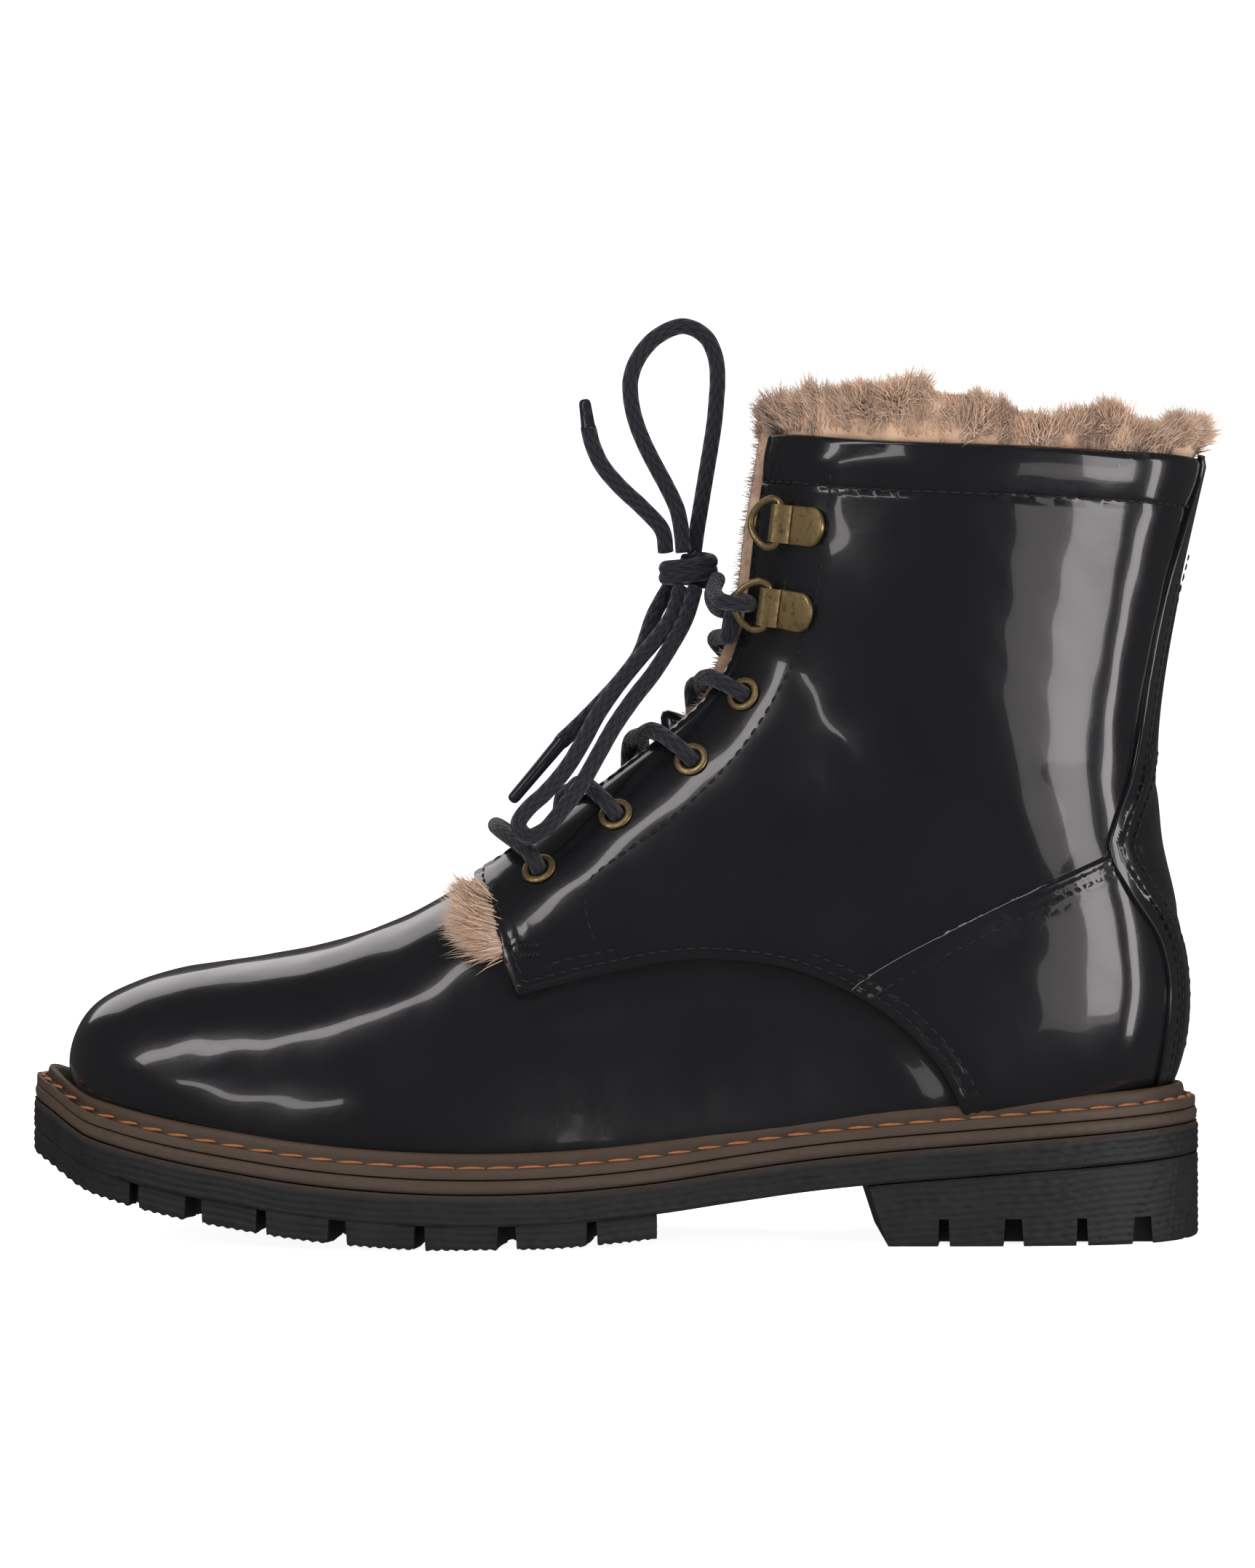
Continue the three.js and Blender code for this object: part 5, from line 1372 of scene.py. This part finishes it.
threadSet = {"row": 0.16, "turn": 0.05, "proud": 0.02, "seam": (panelSet["stitch"], 2.3, 0.75, 0.5),
             "tack": (0.95, 1.7, 0.6, 0.5), "welt": (7.3, 7.7, 1.35, 0.95)}
for label, s in bothSides:
    sheet = sideSheet(s, 8.4, 22.6, 3.72, threadSet["row"], threadSet["turn"], quarterTop)
    sheet.cut(quarterEdge, 0, keep=1).cut(openingEdge, 0, keep=1).cut(collarEdge, 0, keep=1)
    rows = []
    for level in (2.5, 5.1):
        rows += clipRuns(alongLevel(sheet, quarterEdge, level),
                         lambda p: (openingEdge(p) > 3) & (p[:, 2] > feather(p[:, 0]) + 4) & (p[:, 2] < 72)
                         & ((level < 4) | (p[:, 0] > -19)))
    rows += clipRuns(alongLevel(sheet, quarterEdge, 2.3), lambda p: (p[:, 0] < -20) & (p[:, 2] > 66)
                     & (openingEdge(p) > 1.8))
    rows += clipRuns(alongLevel(sheet, openingEdge, 2.3), lambda p: (quarterEdge(p) > 2)
                     & (collarEdge(p) > 2.5))
    rows += clipRuns(alongLevel(sheet, collarEdge, 11.9), lambda p: notStrip(p) & (openingEdge(p) > 2.5))
    rows += clipRuns(alongLevel(sheet, eyestayEdge, 0.0), lambda p: (collarEdge(p) > 1.5)
                     & (quarterEdge(p) > 5.5))
    for level in (-2.2, -4.8):
        rows += clipRuns(alongLevel(sheet, counterEdge, level), lambda p: (quarterEdge(p) > 1) & notStrip(p))
    seam = onSurface(rows, quarterTop + threadSet["proud"])
    stitches("seam_stitches_" + label, seam, threadSet["seam"], "blackThread", "quarter_" + label)
    tacks = []
    for z in (72.8, 70.5):
        spots = np.array([locate(x, z, quarterTop, 9.6, 2.9) for x in np.linspace(-25.2, -18.4, 7)])
        tacks.append(spots if s < 0 else np.column_stack([spots[:, 0], 8 - spots[:, 1]]))
    stitches("bar_tacks_" + label, onSurface(tacks, quarterTop + threadSet["proud"]), threadSet["tack"],
             "blackThread", "quarter_" + label, twist=0.9)
    sheet = sideSheet(s, 11.5, 22.6, 1.7, threadSet["row"], threadSet["turn"], stripTop, startTurn=0.02)
    sheet.cut(stripSide, 0, keep=1).cut(collarEdge, 0, keep=1)
    rows = []
    for level in (3.0, 5.6):
        rows += clipRuns(alongLevel(sheet, stripSide, level), lambda p: (collarEdge(p) > 1.5)
                         & (p[:, 2] > feather(p[:, 0]) + 4) & (np.abs(p[:, 1]) > 4))
    stitches("strip_stitches_" + label, onSurface(rows, stripTop + threadSet["proud"]), threadSet["seam"],
             "blackThread", "back_strip")
print("seams stitched")

# the welt's stitches lie in its channel, end to end
loop = loopOf(2.1, 900)
weltRun = np.column_stack([loop, feather(loop[:, 0]) + 0.12])
weltRun = np.vstack([weltRun, weltRun[:1]])
stitches("welt_stitches", [(weltRun, np.tile([0.0, 0.0, 1.0], (len(weltRun), 1)))], threadSet["welt"],
         "thread", "welt_thread", 0.07)


# eyelets, rings and clips
def placed(points, spot):
    # from (forward, bar, out) to the boot's axes
    p = np.asarray(points, float)
    return spot.point + p[:, :1] * spot.forward + p[:, 1:2] * spot.bar + p[:, 2:] * spot.out


def turnedRing(node, profile, spot, around=40):
    # a profile of radius and height, spun round the spot's outward line
    angles = np.arange(around) * 2 * math.pi / around
    faces, m = [], len(profile)
    points = [(math.cos(a) * r, math.sin(a) * r, h) for a in angles for r, h in profile]
    for k in range(around):
        a, b = k * m, ((k + 1) % around) * m
        faces += [(a + j, b + j, b + (j + 1) % m, a + (j + 1) % m) for j in range(m)]
    piece = newPiece(node + "_turned", placed(points, spot), faces, looks["brass"])
    faceOut(piece)
    piece.data.shade_smooth()
    standsFor(piece, node)


eyeletProfile = [(eyeletHole, barrelLow), (3.3, barrelLow), (3.3, flangeLow - 0.05), (4.0, flangeLow - 0.05),
                 (4.24, flangeLow), (eyeletFlange, flangeLow + 0.12),
                 (4.26, flangeLow + 0.26), (4.1, flangeLow + 0.42), (3.8, flangeLow + 0.55),
                 (3.4, flangeLow + 0.64), (3.05, flangeHigh),
                 (2.85, flangeHigh - 0.04), (2.68, flangeHigh - 0.18), (eyeletHole, flangeHigh - 0.4)]
ringSet = {"height": 14.2, "reach": 9.6, "rest": (30, 4), "wide": 9.3, "plate": 8.6}
for label, s in bothSides:
    for i, (u, v) in enumerate(eyelets):
        turnedRing(f"eyelet_{label}_{i + 1}", eyeletProfile, Spot(u, v, s))
    for i in (0, 1):
        spot = barSpot(i, s)
        bow, halfHeight = ringSet["reach"] - ringWire, (ringSet["height"] - ringWire) / 2
        straight = ringSet["wide"] / 2 + gap
        shape = [(0, y, 0) for y in (-straight, 0, straight)]
        shape += [(bow * math.sin(a), halfHeight * math.cos(a), 0)
                  for a in np.linspace(0.3, math.pi - 0.3, 10)]
        path, _ = curvePoints(shape, 0.45, closed=True)
        lift = -math.radians(ringSet["rest"][i])
        path = np.column_stack([path[:, 0] * math.cos(lift), path[:, 1], -path[:, 0] * math.sin(lift)])
        ring = tube(f"ring_{label}_{i + 1}_wire", placed(path, spot), ringWire / 2, looks["brass"],
                    body=f"ring_{label}_{i + 1}", sides=16,
                    closed=True, start=spot.out)
        faceOut(ring)
        standsFor(ring, f"ring_{label}_{i + 1}")
        # the clip: a strap folded round the bar, that widens into a rounded plate
        half, reach, radius = ringSet["wide"] / 2, ringSet["plate"], ringWire / 2 + gap
        outer = radius + clipThick
        wrapAngles = np.linspace(-math.pi / 2, math.pi * 0.62, 22)
        outerLine = [(math.cos(a) * outer, math.sin(a) * outer) for a in wrapAngles]
        innerLine = [(math.cos(a) * radius, math.sin(a) * radius) for a in wrapAngles[::-1]]
        section = [(-0.2, -outer)] + outerLine + [(-1.6, 1.35), (-3.0, 0.35), (-3.5, -0.35), (-3.2, -0.75),
                                                  (-2.4, 0.0), (-1.3, 0.75)] + innerLine + [(-0.2, -radius)]
        widths = np.array([-half, -half + 0.25, half - 0.25, half])
        points = [(a, w, b) for w in widths for a, b in section]
        wrap = newPiece(f"ring_clip_{label}_{i + 1}_fold", placed(points, spot), loftFaces(4, len(section)),
                        looks["brass"])
        faceOut(wrap)
        edge = half + 0.2
        outline = [(-1.2, -half * 0.96), (0.6, -half * 0.96), (0.6, half * 0.96), (-1.2, half * 0.96),
                   (-2.6, edge - 0.1)]
        outline += [(-reach - math.sin(a) * edge * 0.86, math.cos(a) * edge)
                    for a in np.linspace(0, math.pi, 26)] + [(-2.6, -edge + 0.1)]
        outline = np.array(outline)
        middle = np.array([-6.5, 0])
        levels = [(-outer + rise, scale) for rise,
                  scale in ((0, 1.0), (0.45, 1.0), (0.72, 0.985), (0.88, 0.955),
                                                             (0.93, 0.9), (1.0, 0.6), (1.05, 0.25))]
        points = [(*(middle + (p - middle) * scale), h) for h, scale in levels for p in outline]
        faces = loftFaces(len(levels), len(outline))
        blade = newPiece(f"ring_clip_{label}_{i + 1}_plate", placed(points, spot), faces, looks["brass"])
        faceOut(blade)
        for piece in (wrap, blade):
            select(piece)
            bpy.ops.object.shade_smooth_by_angle(angle=math.radians(50))
            standsFor(piece, f"ring_clip_{label}_{i + 1}")
print("eyelets, rings and clips set")


# tongue
swell = {"from": 11.95, "peak": 12.5, "to": 13.05, "height": 11.5, "half": 7}
tongueSet = {"from": 8.6, "to": 21.2, "half": 25, "rows": 150, "across": 56}
rootDrop, tongueDrop, tongueThick, tonguePile = leather + 3 * gap, 7.4, 1.5, 4.5


def tongueGrid(deeper):
    us = np.linspace(tongueSet["from"], tongueSet["to"], tongueSet["rows"])
    ys = np.linspace(-1, 1, tongueSet["across"] + 1)
    grow = np.minimum(1, 0.62 + (us - tongueSet["from"]) * 0.09)
    u = np.repeat(us, len(ys))
    y = (np.outer(grow, ys) * tongueSet["half"]).ravel()
    along = smooth(swell["from"], swell["peak"], u) * (1 - smooth(swell["peak"], swell["to"], u))
    rise = along * swell["height"] * np.where(np.abs(y) < swell["half"],
                                              np.cos(math.pi * y / (2 * swell["half"])) ** 2, 0)
    drop = rootDrop + (tongueDrop - rootDrop) * smooth(9.2, 10, u)
    v = turnAtY(u, y)
    return surface(u, v, rise - drop - deeper), normalAt(u, v), u, y


top, normals, u, y = tongueGrid(0)
count = tongueSet["across"] + 1
tongue = newPiece("tongue_leather", top + normals * (0.14 * wobble(top, 9, 21) - 0.1)[:, None],
                  gridFaces(tongueSet["rows"], count),
                  looks["polished"], "tongue")
finishWith(tongue, "SOLIDIFY", thickness=tongueThick / 1000, offset=-1)
faceOut(tongue)
tongue.data.shade_smooth()
standsFor(tongue, "tongue")


# pile: a lumpy skin with fine fibres growing out of it
def fibres(name, roots, ways, lengths, node, body, shades, width=0.3, bow=0.5, seed=1):
    # each fibre is a thin three-sided spike that bends over
    draw = np.random.default_rng(seed)
    n = len(roots)
    side = unit(np.cross(ways, draw.normal(size=(n, 3))))
    other = np.cross(ways, side)
    lean = unit(draw.normal(size=(n, 3)))
    middle = roots + ways * (lengths * 0.55)[:, None] + lean * (lengths * bow * 0.18)[:, None]
    tip = roots + ways * lengths[:, None] + lean * (lengths * bow * 0.62)[:, None]
    rings = []
    for centre, w in ((roots, width), (middle, width * 0.7)):
        for a in range(3):
            turn = a * 2 * math.pi / 3
            rings.append(centre + (side * math.cos(turn) + other * math.sin(turn)) * w / 2)
    points = np.stack(rings + [tip], axis=1).reshape(-1, 3)
    base = (np.arange(n) * 7)[:, None]
    quads = [(0, 1, 4, 3), (1, 2, 5, 4), (2, 0, 3, 5)]
    triangles = [(3, 4, 6), (4, 5, 6), (5, 3, 6), (2, 1, 0)]
    faces = []
    for face in quads + triangles:
        faces += (base + np.array(face)).tolist()
    piece = newPiece(name, points, faces, looks["fleece"], body)
    # each fibre is coloured darker at its root, painted shade where the pile crowds, and paler at its tip
    attribute(piece, "shade", np.stack([shades - 0.12] * 3 + [shades] * 3 + [shades + 0.14], axis=1).ravel())
    standsFor(piece, node)


def curls(roots, size, seed):
    # a way that changes softly from place to place, so that fibres lean together in tufts
    return np.stack([wobble(roots, size, seed + k) for k in range(3)], axis=1)


def mixed(values, corners, mixing):
    # corner values carried to the scattered places
    weights = mixing if values.ndim == 1 else mixing[:, :, None]
    return (values[corners] * weights).sum(axis=1)


def slab(name, upper, lower, faces, border, body="boot"):
    # a closed pile skin between two layers of points
    n = len(upper)
    faces = faces + [tuple(k + n for k in face[::-1]) for face in faces] + [(a, b, b + n, a + n) for a,
            b in border]
    return newPiece(name, np.vstack([upper, lower]), faces, looks["fleece"], body)


def scatter(points, faces, weights, count, seed):
    # random places over the faces, heavier where the weights are
    draw = np.random.default_rng(seed)
    corners = np.array([f[:3] for f in faces] + [(f[0], f[2], f[3]) for f in faces if len(f) > 3])
    a, b, c = points[corners[:, 0]], points[corners[:, 1]], points[corners[:, 2]]
    area = np.linalg.norm(np.cross(b - a, c - a), axis=1) * weights[corners].mean(axis=1)
    total = np.cumsum(area)
    pick = np.searchsorted(total, draw.random(count) * total[-1])
    r, t = np.sqrt(draw.random(count)), draw.random(count)
    mixing = np.stack([1 - r, r * (1 - t), r * t], axis=1)
    return corners[pick], mixing


liningSet = {"row": 0.14, "turn": 0.042, "deep": 8.1}
openLine = 5.2


def fleeceTop(p):
    return curveThrough(fleeceLine)(p[:, 0]) - p[:, 2]


def openingAt(p):
    # how far behind the lining's own front edge a point lies
    return np.where((p[:, 2] > 68) & (p[:, 0] < 86), np.abs(p[:, 1]) - halfOpening(p[:, 2]) + openLine, 30)


sheet = Sheet(steps(0.8, 23.2, liningSet["row"]), steps(0, 8, liningSet["turn"]), 0.0)
sheet.cut(lambda p: np.where(p[:, 0] > -31, openingAt(p), 30), 0, keep=1)
sheet.cut(fleeceTop, -0.5, keep=1).cut(weltEdge, -9, keep=1)
sheet.tidy()
u, v = sheet.uv.T
base = surface(u, v)
normals = normalAt(u, v)
skin = -2.4 + 2.2 * smooth(11.5, 13, u) * (1 - smooth(-5, -1.5, vampEdge(base)))
topGap = np.maximum(fleeceTop(base) + 0.5, 0)
openGap = openingAt(base)
tight = np.minimum(np.abs(np.mod(v, 8) - 1), np.abs(np.mod(v, 8) - 7))
deep = 3 + (liningSet["deep"] - 3) * (1 - 0.85 * (1 - smooth(0, 1.1, tight)))
deep = deep * (0.35 + 0.65 * np.minimum(smooth(-0.5, 6, topGap),
                                        smooth(-1, 16, openGap))) + 0.55 * wobble(base, 9, 31) * smooth(0, 3,
                                                topGap)
deep = np.maximum(deep, 1.3)
brim = 2.8 * (1 - smooth(1.2, 5.0, openGap)) * smooth(130, 140, base[:, 2])
outerSide = base + normals * (skin + brim - 0.25 * (1
        - smooth(0, 1.5, np.minimum(topGap, openGap + 0.4))))[:, None]
innerSide = base - normals * deep[:, None]
edges = {}
for face in sheet.faces:
    for a, b in zip(face, face[1:] + face[:1]):
        if (b, a) in edges:
            del edges[(b, a)]
        else:
            edges[(a, b)] = None
lining = slab("lining_pile", outerSide, innerSide, sheet.faces, [(b, a) for a, b in edges])


def shadeOf(p):
    # paler and darker tufts, and painted shade where the pile lies ahead of the shaft, in the front of the
    # boot
    return np.clip(0.5 + 0.3 * wobble(p, 12, 41) + 0.16 * wobble(p, 4, 42)
                   - 0.75 * (1 - smooth(37, 45, p[:, 0])), 0, 1)


# darker within a few millimetres of the front opening: painted shade in the gap between the facing and the
# tongue
attribute(lining, "shade", np.clip(np.tile(shadeOf(base) - 0.45 * (1 - smooth(4, 6, openGap)), 2) - 0.1, 0,
                                   1))
faceOut(lining)
lining.data.shade_smooth()
standsFor(lining, "lining")

# fibres along the collar: they stand up out of the rim and curl inwards and outwards
seenFrom = ((topGap < 15) & (base[:, 2] > 150)).astype(float)
crown = {"outside": (np.exp(-(topGap / 9.0) ** 2) * seenFrom, 17500, 4.6),
         "rim": (np.exp(-(topGap / 2.6) ** 2) * seenFrom, 17500, 4.2),
         "inside": ((0.2 + smooth(90, 170, base[:, 2]) * 1.4) * (base[:, 2] > 60) * (u > 8), 15000, 3.4)}
for k, (side, (weight, howMany, long)) in enumerate(crown.items()):
    draw = np.random.default_rng(51 + k)
    corners, mixing = scatter(innerSide if side == "inside" else outerSide, sheet.faces, weight, howMany, 54
                              + k)
    near = {"outside": np.zeros, "rim": draw.random, "inside": np.ones}[side](howMany)
    covered = mixed((collarEdge(base) > 0.1).astype(float), corners, mixing) > 0.4
    near = np.where(covered, np.maximum(near, 0.75), near)[:, None]
    roots = mixed(outerSide, corners, mixing) * (1 - near) + mixed(innerSide, corners, mixing) * near
    outs = unit(mixed(normals, corners, mixing))
    roots = roots - outs * (1 - 2 * near) * 0.3
    stand = {"outside": 1.0, "rim": 1.0, "inside": 0.6}[side]
    ways = unit(np.array([0, 0, stand]) + outs * (0.55 - 1.4 * near) + 0.75 * curls(roots, 6.5, 61)
                + 0.22 * draw.normal(size=(howMany, 3)))
    flat = np.sum(ways * outs, axis=1)
    if side == "outside":
        ways = unit(ways + outs * (np.maximum(0.22, flat) - flat)[:, None])
    lengths = long * (0.7 + 0.5 * draw.random(howMany)) * (1 + 0.4 * wobble(roots, 10, 64))
    shades = np.clip(shadeOf(roots) + 0.14 * draw.normal(size=howMany), 0, 1)
    keep = ~covered if side == "outside" else covered < 2
    fibres("pile_" + side, roots[keep], ways[keep], lengths[keep], "lining", "boot", shades[keep],
           width=0.28, seed=57 + k)

# the facing's edge shows a strip of the lining brushed one way, its fibres coloured dark as painted shade in
# the gap at the throat
openWeight = np.exp(-((openGap) / 2.2) ** 2) * (base[:, 2] > 88) * (topGap > 0)
corners, mixing = scatter((outerSide + innerSide) / 2, sheet.faces, openWeight, 6500, 71)
near = np.random.default_rng(72).random(len(corners))[:, None]
roots = mixed(outerSide, corners, mixing) * (1 - near) + mixed(innerSide, corners, mixing) * near
outs = unit(mixed(normals, corners, mixing))
inwards = np.column_stack([np.zeros(len(roots)), -np.sign(roots[:, 1]), np.zeros(len(roots))])
ways = unit(inwards * 0.7 - np.array([0.8, 0, -0.2]) + outs * 0.3 + 0.5 * curls(roots, 5, 73))
lengths = 2.3 * (0.6 + 0.8 * np.random.default_rng(76).random(len(corners)))
shades = np.clip(0.2 + 0.14 * np.random.default_rng(77).normal(size=len(corners))
                 + 0.12 * wobble(roots, 6, 78), 0, 1)
fibres("pile_facings", roots, ways, lengths, "lining", "boot", shades, width=0.26, seed=79)

# tongue lining
top, normals, u, y = tongueGrid(tongueThick + gap)
low = tongueGrid(tongueThick + gap + tonguePile)[0]
edge = np.minimum(1 - np.abs(y) / (tongueSet["half"] * np.minimum(1, 0.62 + (u - tongueSet["from"]) * 0.09)),
                  (tongueSet["to"] - u) / 2)
low = low + normals * (0.5 * wobble(low, 8, 81) * smooth(0, 0.2, edge)
                       + 2.2 * (1 - smooth(0, 0.14, edge)))[:, None]
faces = gridFaces(tongueSet["rows"], count)
under = slab("tongue_pile", top, low, faces, gridBorder(tongueSet["rows"], count), "tongue")
attribute(under, "shade", np.clip(np.tile(shadeOf(top), 2) - 0.1, 0, 1))
faceOut(under)
standsFor(under, "tongue_fleece")
corners, mixing = scatter(low, faces, np.ones(len(top)), 9000, 83)
roots = mixed(low, corners, mixing)
ways = unit(np.array([0, 0, 0.5]) - unit(mixed(normals, corners, mixing)) + 0.6 * curls(roots, 7, 84))
shades = np.clip(shadeOf(roots) + 0.13 * np.random.default_rng(87).normal(size=len(corners)), 0, 1)
lengths = 2.6 * (0.7 + 0.6 * np.random.default_rng(88).random(len(corners)))
fibres("tongue_pile_fibres", roots, ways, lengths, "tongue_fleece", "tongue", shades, seed=89)

# a tuft that pokes out ahead of the outer facing at the throat
draw = np.random.default_rng(91)
n = 2600
along = draw.random(n)
slide, swing = draw.normal(size=(4, n))[2:]
uvTuft = np.array([locate(x, z, 1.0, 9.0, 3.0) for x, z in ((-27.5, 71.5), (-29.8, 77.7), (-32.1, 84))])
uT = np.interp(along, [0, 0.5, 1], uvTuft[:, 0]) + slide * 0.05
vT = np.interp(along, [0, 0.5, 1], uvTuft[:, 1]) + swing * 0.02
roots = surface(uT, vT, 0.7 + draw.random(n) * 0.9)
outs = normalAt(uT, vT)
ways = unit(np.column_stack([-np.ones(n), np.zeros(n), 0.05 + (along - 0.5) * 0.9])
            + outs * (0.22 + 0.25 * draw.random(n))[:, None]
            + 0.35 * curls(roots, 4, 92) + 0.1 * draw.normal(size=(n, 3)))
flat = np.sum(ways * outs, axis=1)
ways = unit(ways + outs * (np.maximum(0.14, flat) - flat)[:, None])
lengths = (6.0 + 6.5 * draw.random(n)) * (0.75 + 0.4 * np.sin(along * math.pi)) * 0.95
shades = np.clip(0.58 + 0.24 * draw.normal(size=n), 0, 1)
fibres("throat_tuft", roots, ways, lengths, "lining", "boot", shades, width=0.32, bow=0.3, seed=95)

# the footbed's pile, down inside
bedSet = {"inset": 17, "rows": 91, "across": 25, "over": 8.9, "thick": 5.6}
x, outerY, innerY = ladder(bedSet["inset"], bedSet["rows"] - 1)
points = np.array([(x[k], outerY[k] + (innerY[k] - outerY[k]) * t, feather(x[k]) + bedSet["over"])
                   for k in range(bedSet["rows"]) for t in np.linspace(0, 1, bedSet["across"])])
points[:, 2] += 0.35 * wobble(points, 8, 97)
bottom = points - np.array([0, 0, bedSet["thick"]])
faces = [face[::-1] for face in gridFaces(bedSet["rows"], bedSet["across"])]
bed = slab("footbed_pile", points, bottom, faces, gridBorder(bedSet["rows"], bedSet["across"]))
attribute(bed, "shade", np.tile(shadeOf(points), 2))
faceOut(bed)
standsFor(bed, "footbed")
print("pile grown")

# the frame's own pieces that stay, hidden inside
for name, look in (("filler", "board"), ("shank", "steel"), ("insole", "board"), ("toe_puff", "board"),
                   ("heel_stiffener", "board")):
    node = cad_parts[name]
    node = node if hasattr(node, "data") else bpy.data.objects[name]
    for held in node.material_slots:
        held.material = looks[look]

# floor, light and end
bpy.ops.mesh.primitive_plane_add(size=12)
floor = bpy.context.object
floor.name = "floor"
floorLook = Graph("paleFloor", (0.9, 0.9, 0.9), roughness=0.7).material
shader = floorLook.node_tree.nodes["Principled BSDF"]
shader.inputs["Emission Color"].default_value = (1, 1, 1, 1)
shader.inputs["Emission Strength"].default_value = 0.92
floor.data.materials.append(floorLook)
floor.visible_glossy = False

world = bpy.data.worlds.new("studio")
bpy.context.scene.world = world
world.use_nodes = True
back = world.node_tree.nodes["Background"]
back.inputs["Strength"].default_value = 1
rays = world.node_tree.nodes.new("ShaderNodeLightPath")
studio = {"seen": 1.3, "mirrored": 0.045, "around": 0.62}


def either(ray, plain, special):
    # one grey for the named kind of ray, another for the rest
    choice = world.node_tree.nodes.new("ShaderNodeMix")
    world.node_tree.links.new(rays.outputs[ray], choice.inputs[0])
    choice.inputs[3].default_value = special
    if isinstance(plain, float):
        choice.inputs[2].default_value = plain
    else:
        world.node_tree.links.new(plain, choice.inputs[2])
    return choice.outputs[0]


surround = either("Is Glossy Ray", studio["around"], studio["mirrored"])
world.node_tree.links.new(either("Is Camera Ray", surround, studio["seen"]), back.inputs["Strength"])
back.inputs["Color"].default_value = (1, 1, 1, 1)
bpy.context.scene.view_settings.view_transform = "Standard"


def softbox(name, place, aim, along, size, power, color=(1, 0.95, 0.97), mirrored=True):
    # a rectangle of light; its long side runs along the given way
    light = bpy.data.lights.new(name, "AREA")
    light.shape = "RECTANGLE"
    light.size, light.size_y = size
    light.energy = power
    light.color = color
    lamp = bpy.data.objects.new(name, light)
    bpy.context.scene.collection.objects.link(lamp)
    back = (Vector(place) - Vector(aim)).normalized()
    side = Vector(along)
    side = (side - back * side.dot(back)).normalized()
    up = back.cross(side)
    lamp.matrix_world = Matrix(((side.x, up.x, back.x, place[0]), (side.y, up.y, back.y, place[1]),
                                (side.z, up.z, back.z, place[2]), (0, 0, 0, 1)))
    lamp.visible_camera = False
    lamp.visible_glossy = mirrored
    return lamp


softbox("fill", (0.0, -0.7, 1.4), (0, 0, 0.1), (1, 0, 0), (1.4, 0.9), 15, (1, 1, 1), False)
softbox("toeStrip", (-0.74, -0.86, 0.76), (-0.09, -0.03, 0.06), (0.94, -0.17, 0.84), (1.3, 0.17), 2.9)
softbox("toeLow", (-0.72, -1.14, 0.24), (-0.09, -0.03, 0.06), (0.54, -0.25, 0.13), (0.72, 0.06), 0.5)
softbox("rightWide", (0.66, -0.56, 0.15), (0.07, -0.03, 0.15), (0.7, 0.7, 0), (0.42, 0.3), 1.15)
softbox("rightSoft", (0.62, -0.72, 0.05), (0.06, -0.03, 0.1), (0.8, 0.6, 0), (0.86, 0.2), 0.55)
softbox("rightStrip", (0.98, -0.16, 0.16), (0.09, 0, 0.1), (0, 0, 1), (0.6, 0.16), 1.2)
softbox("behind", (-0.1, 1.0, 0.85), (0, 0, 0.1), (1, 0, 0), (1.8, 0.8), 5)
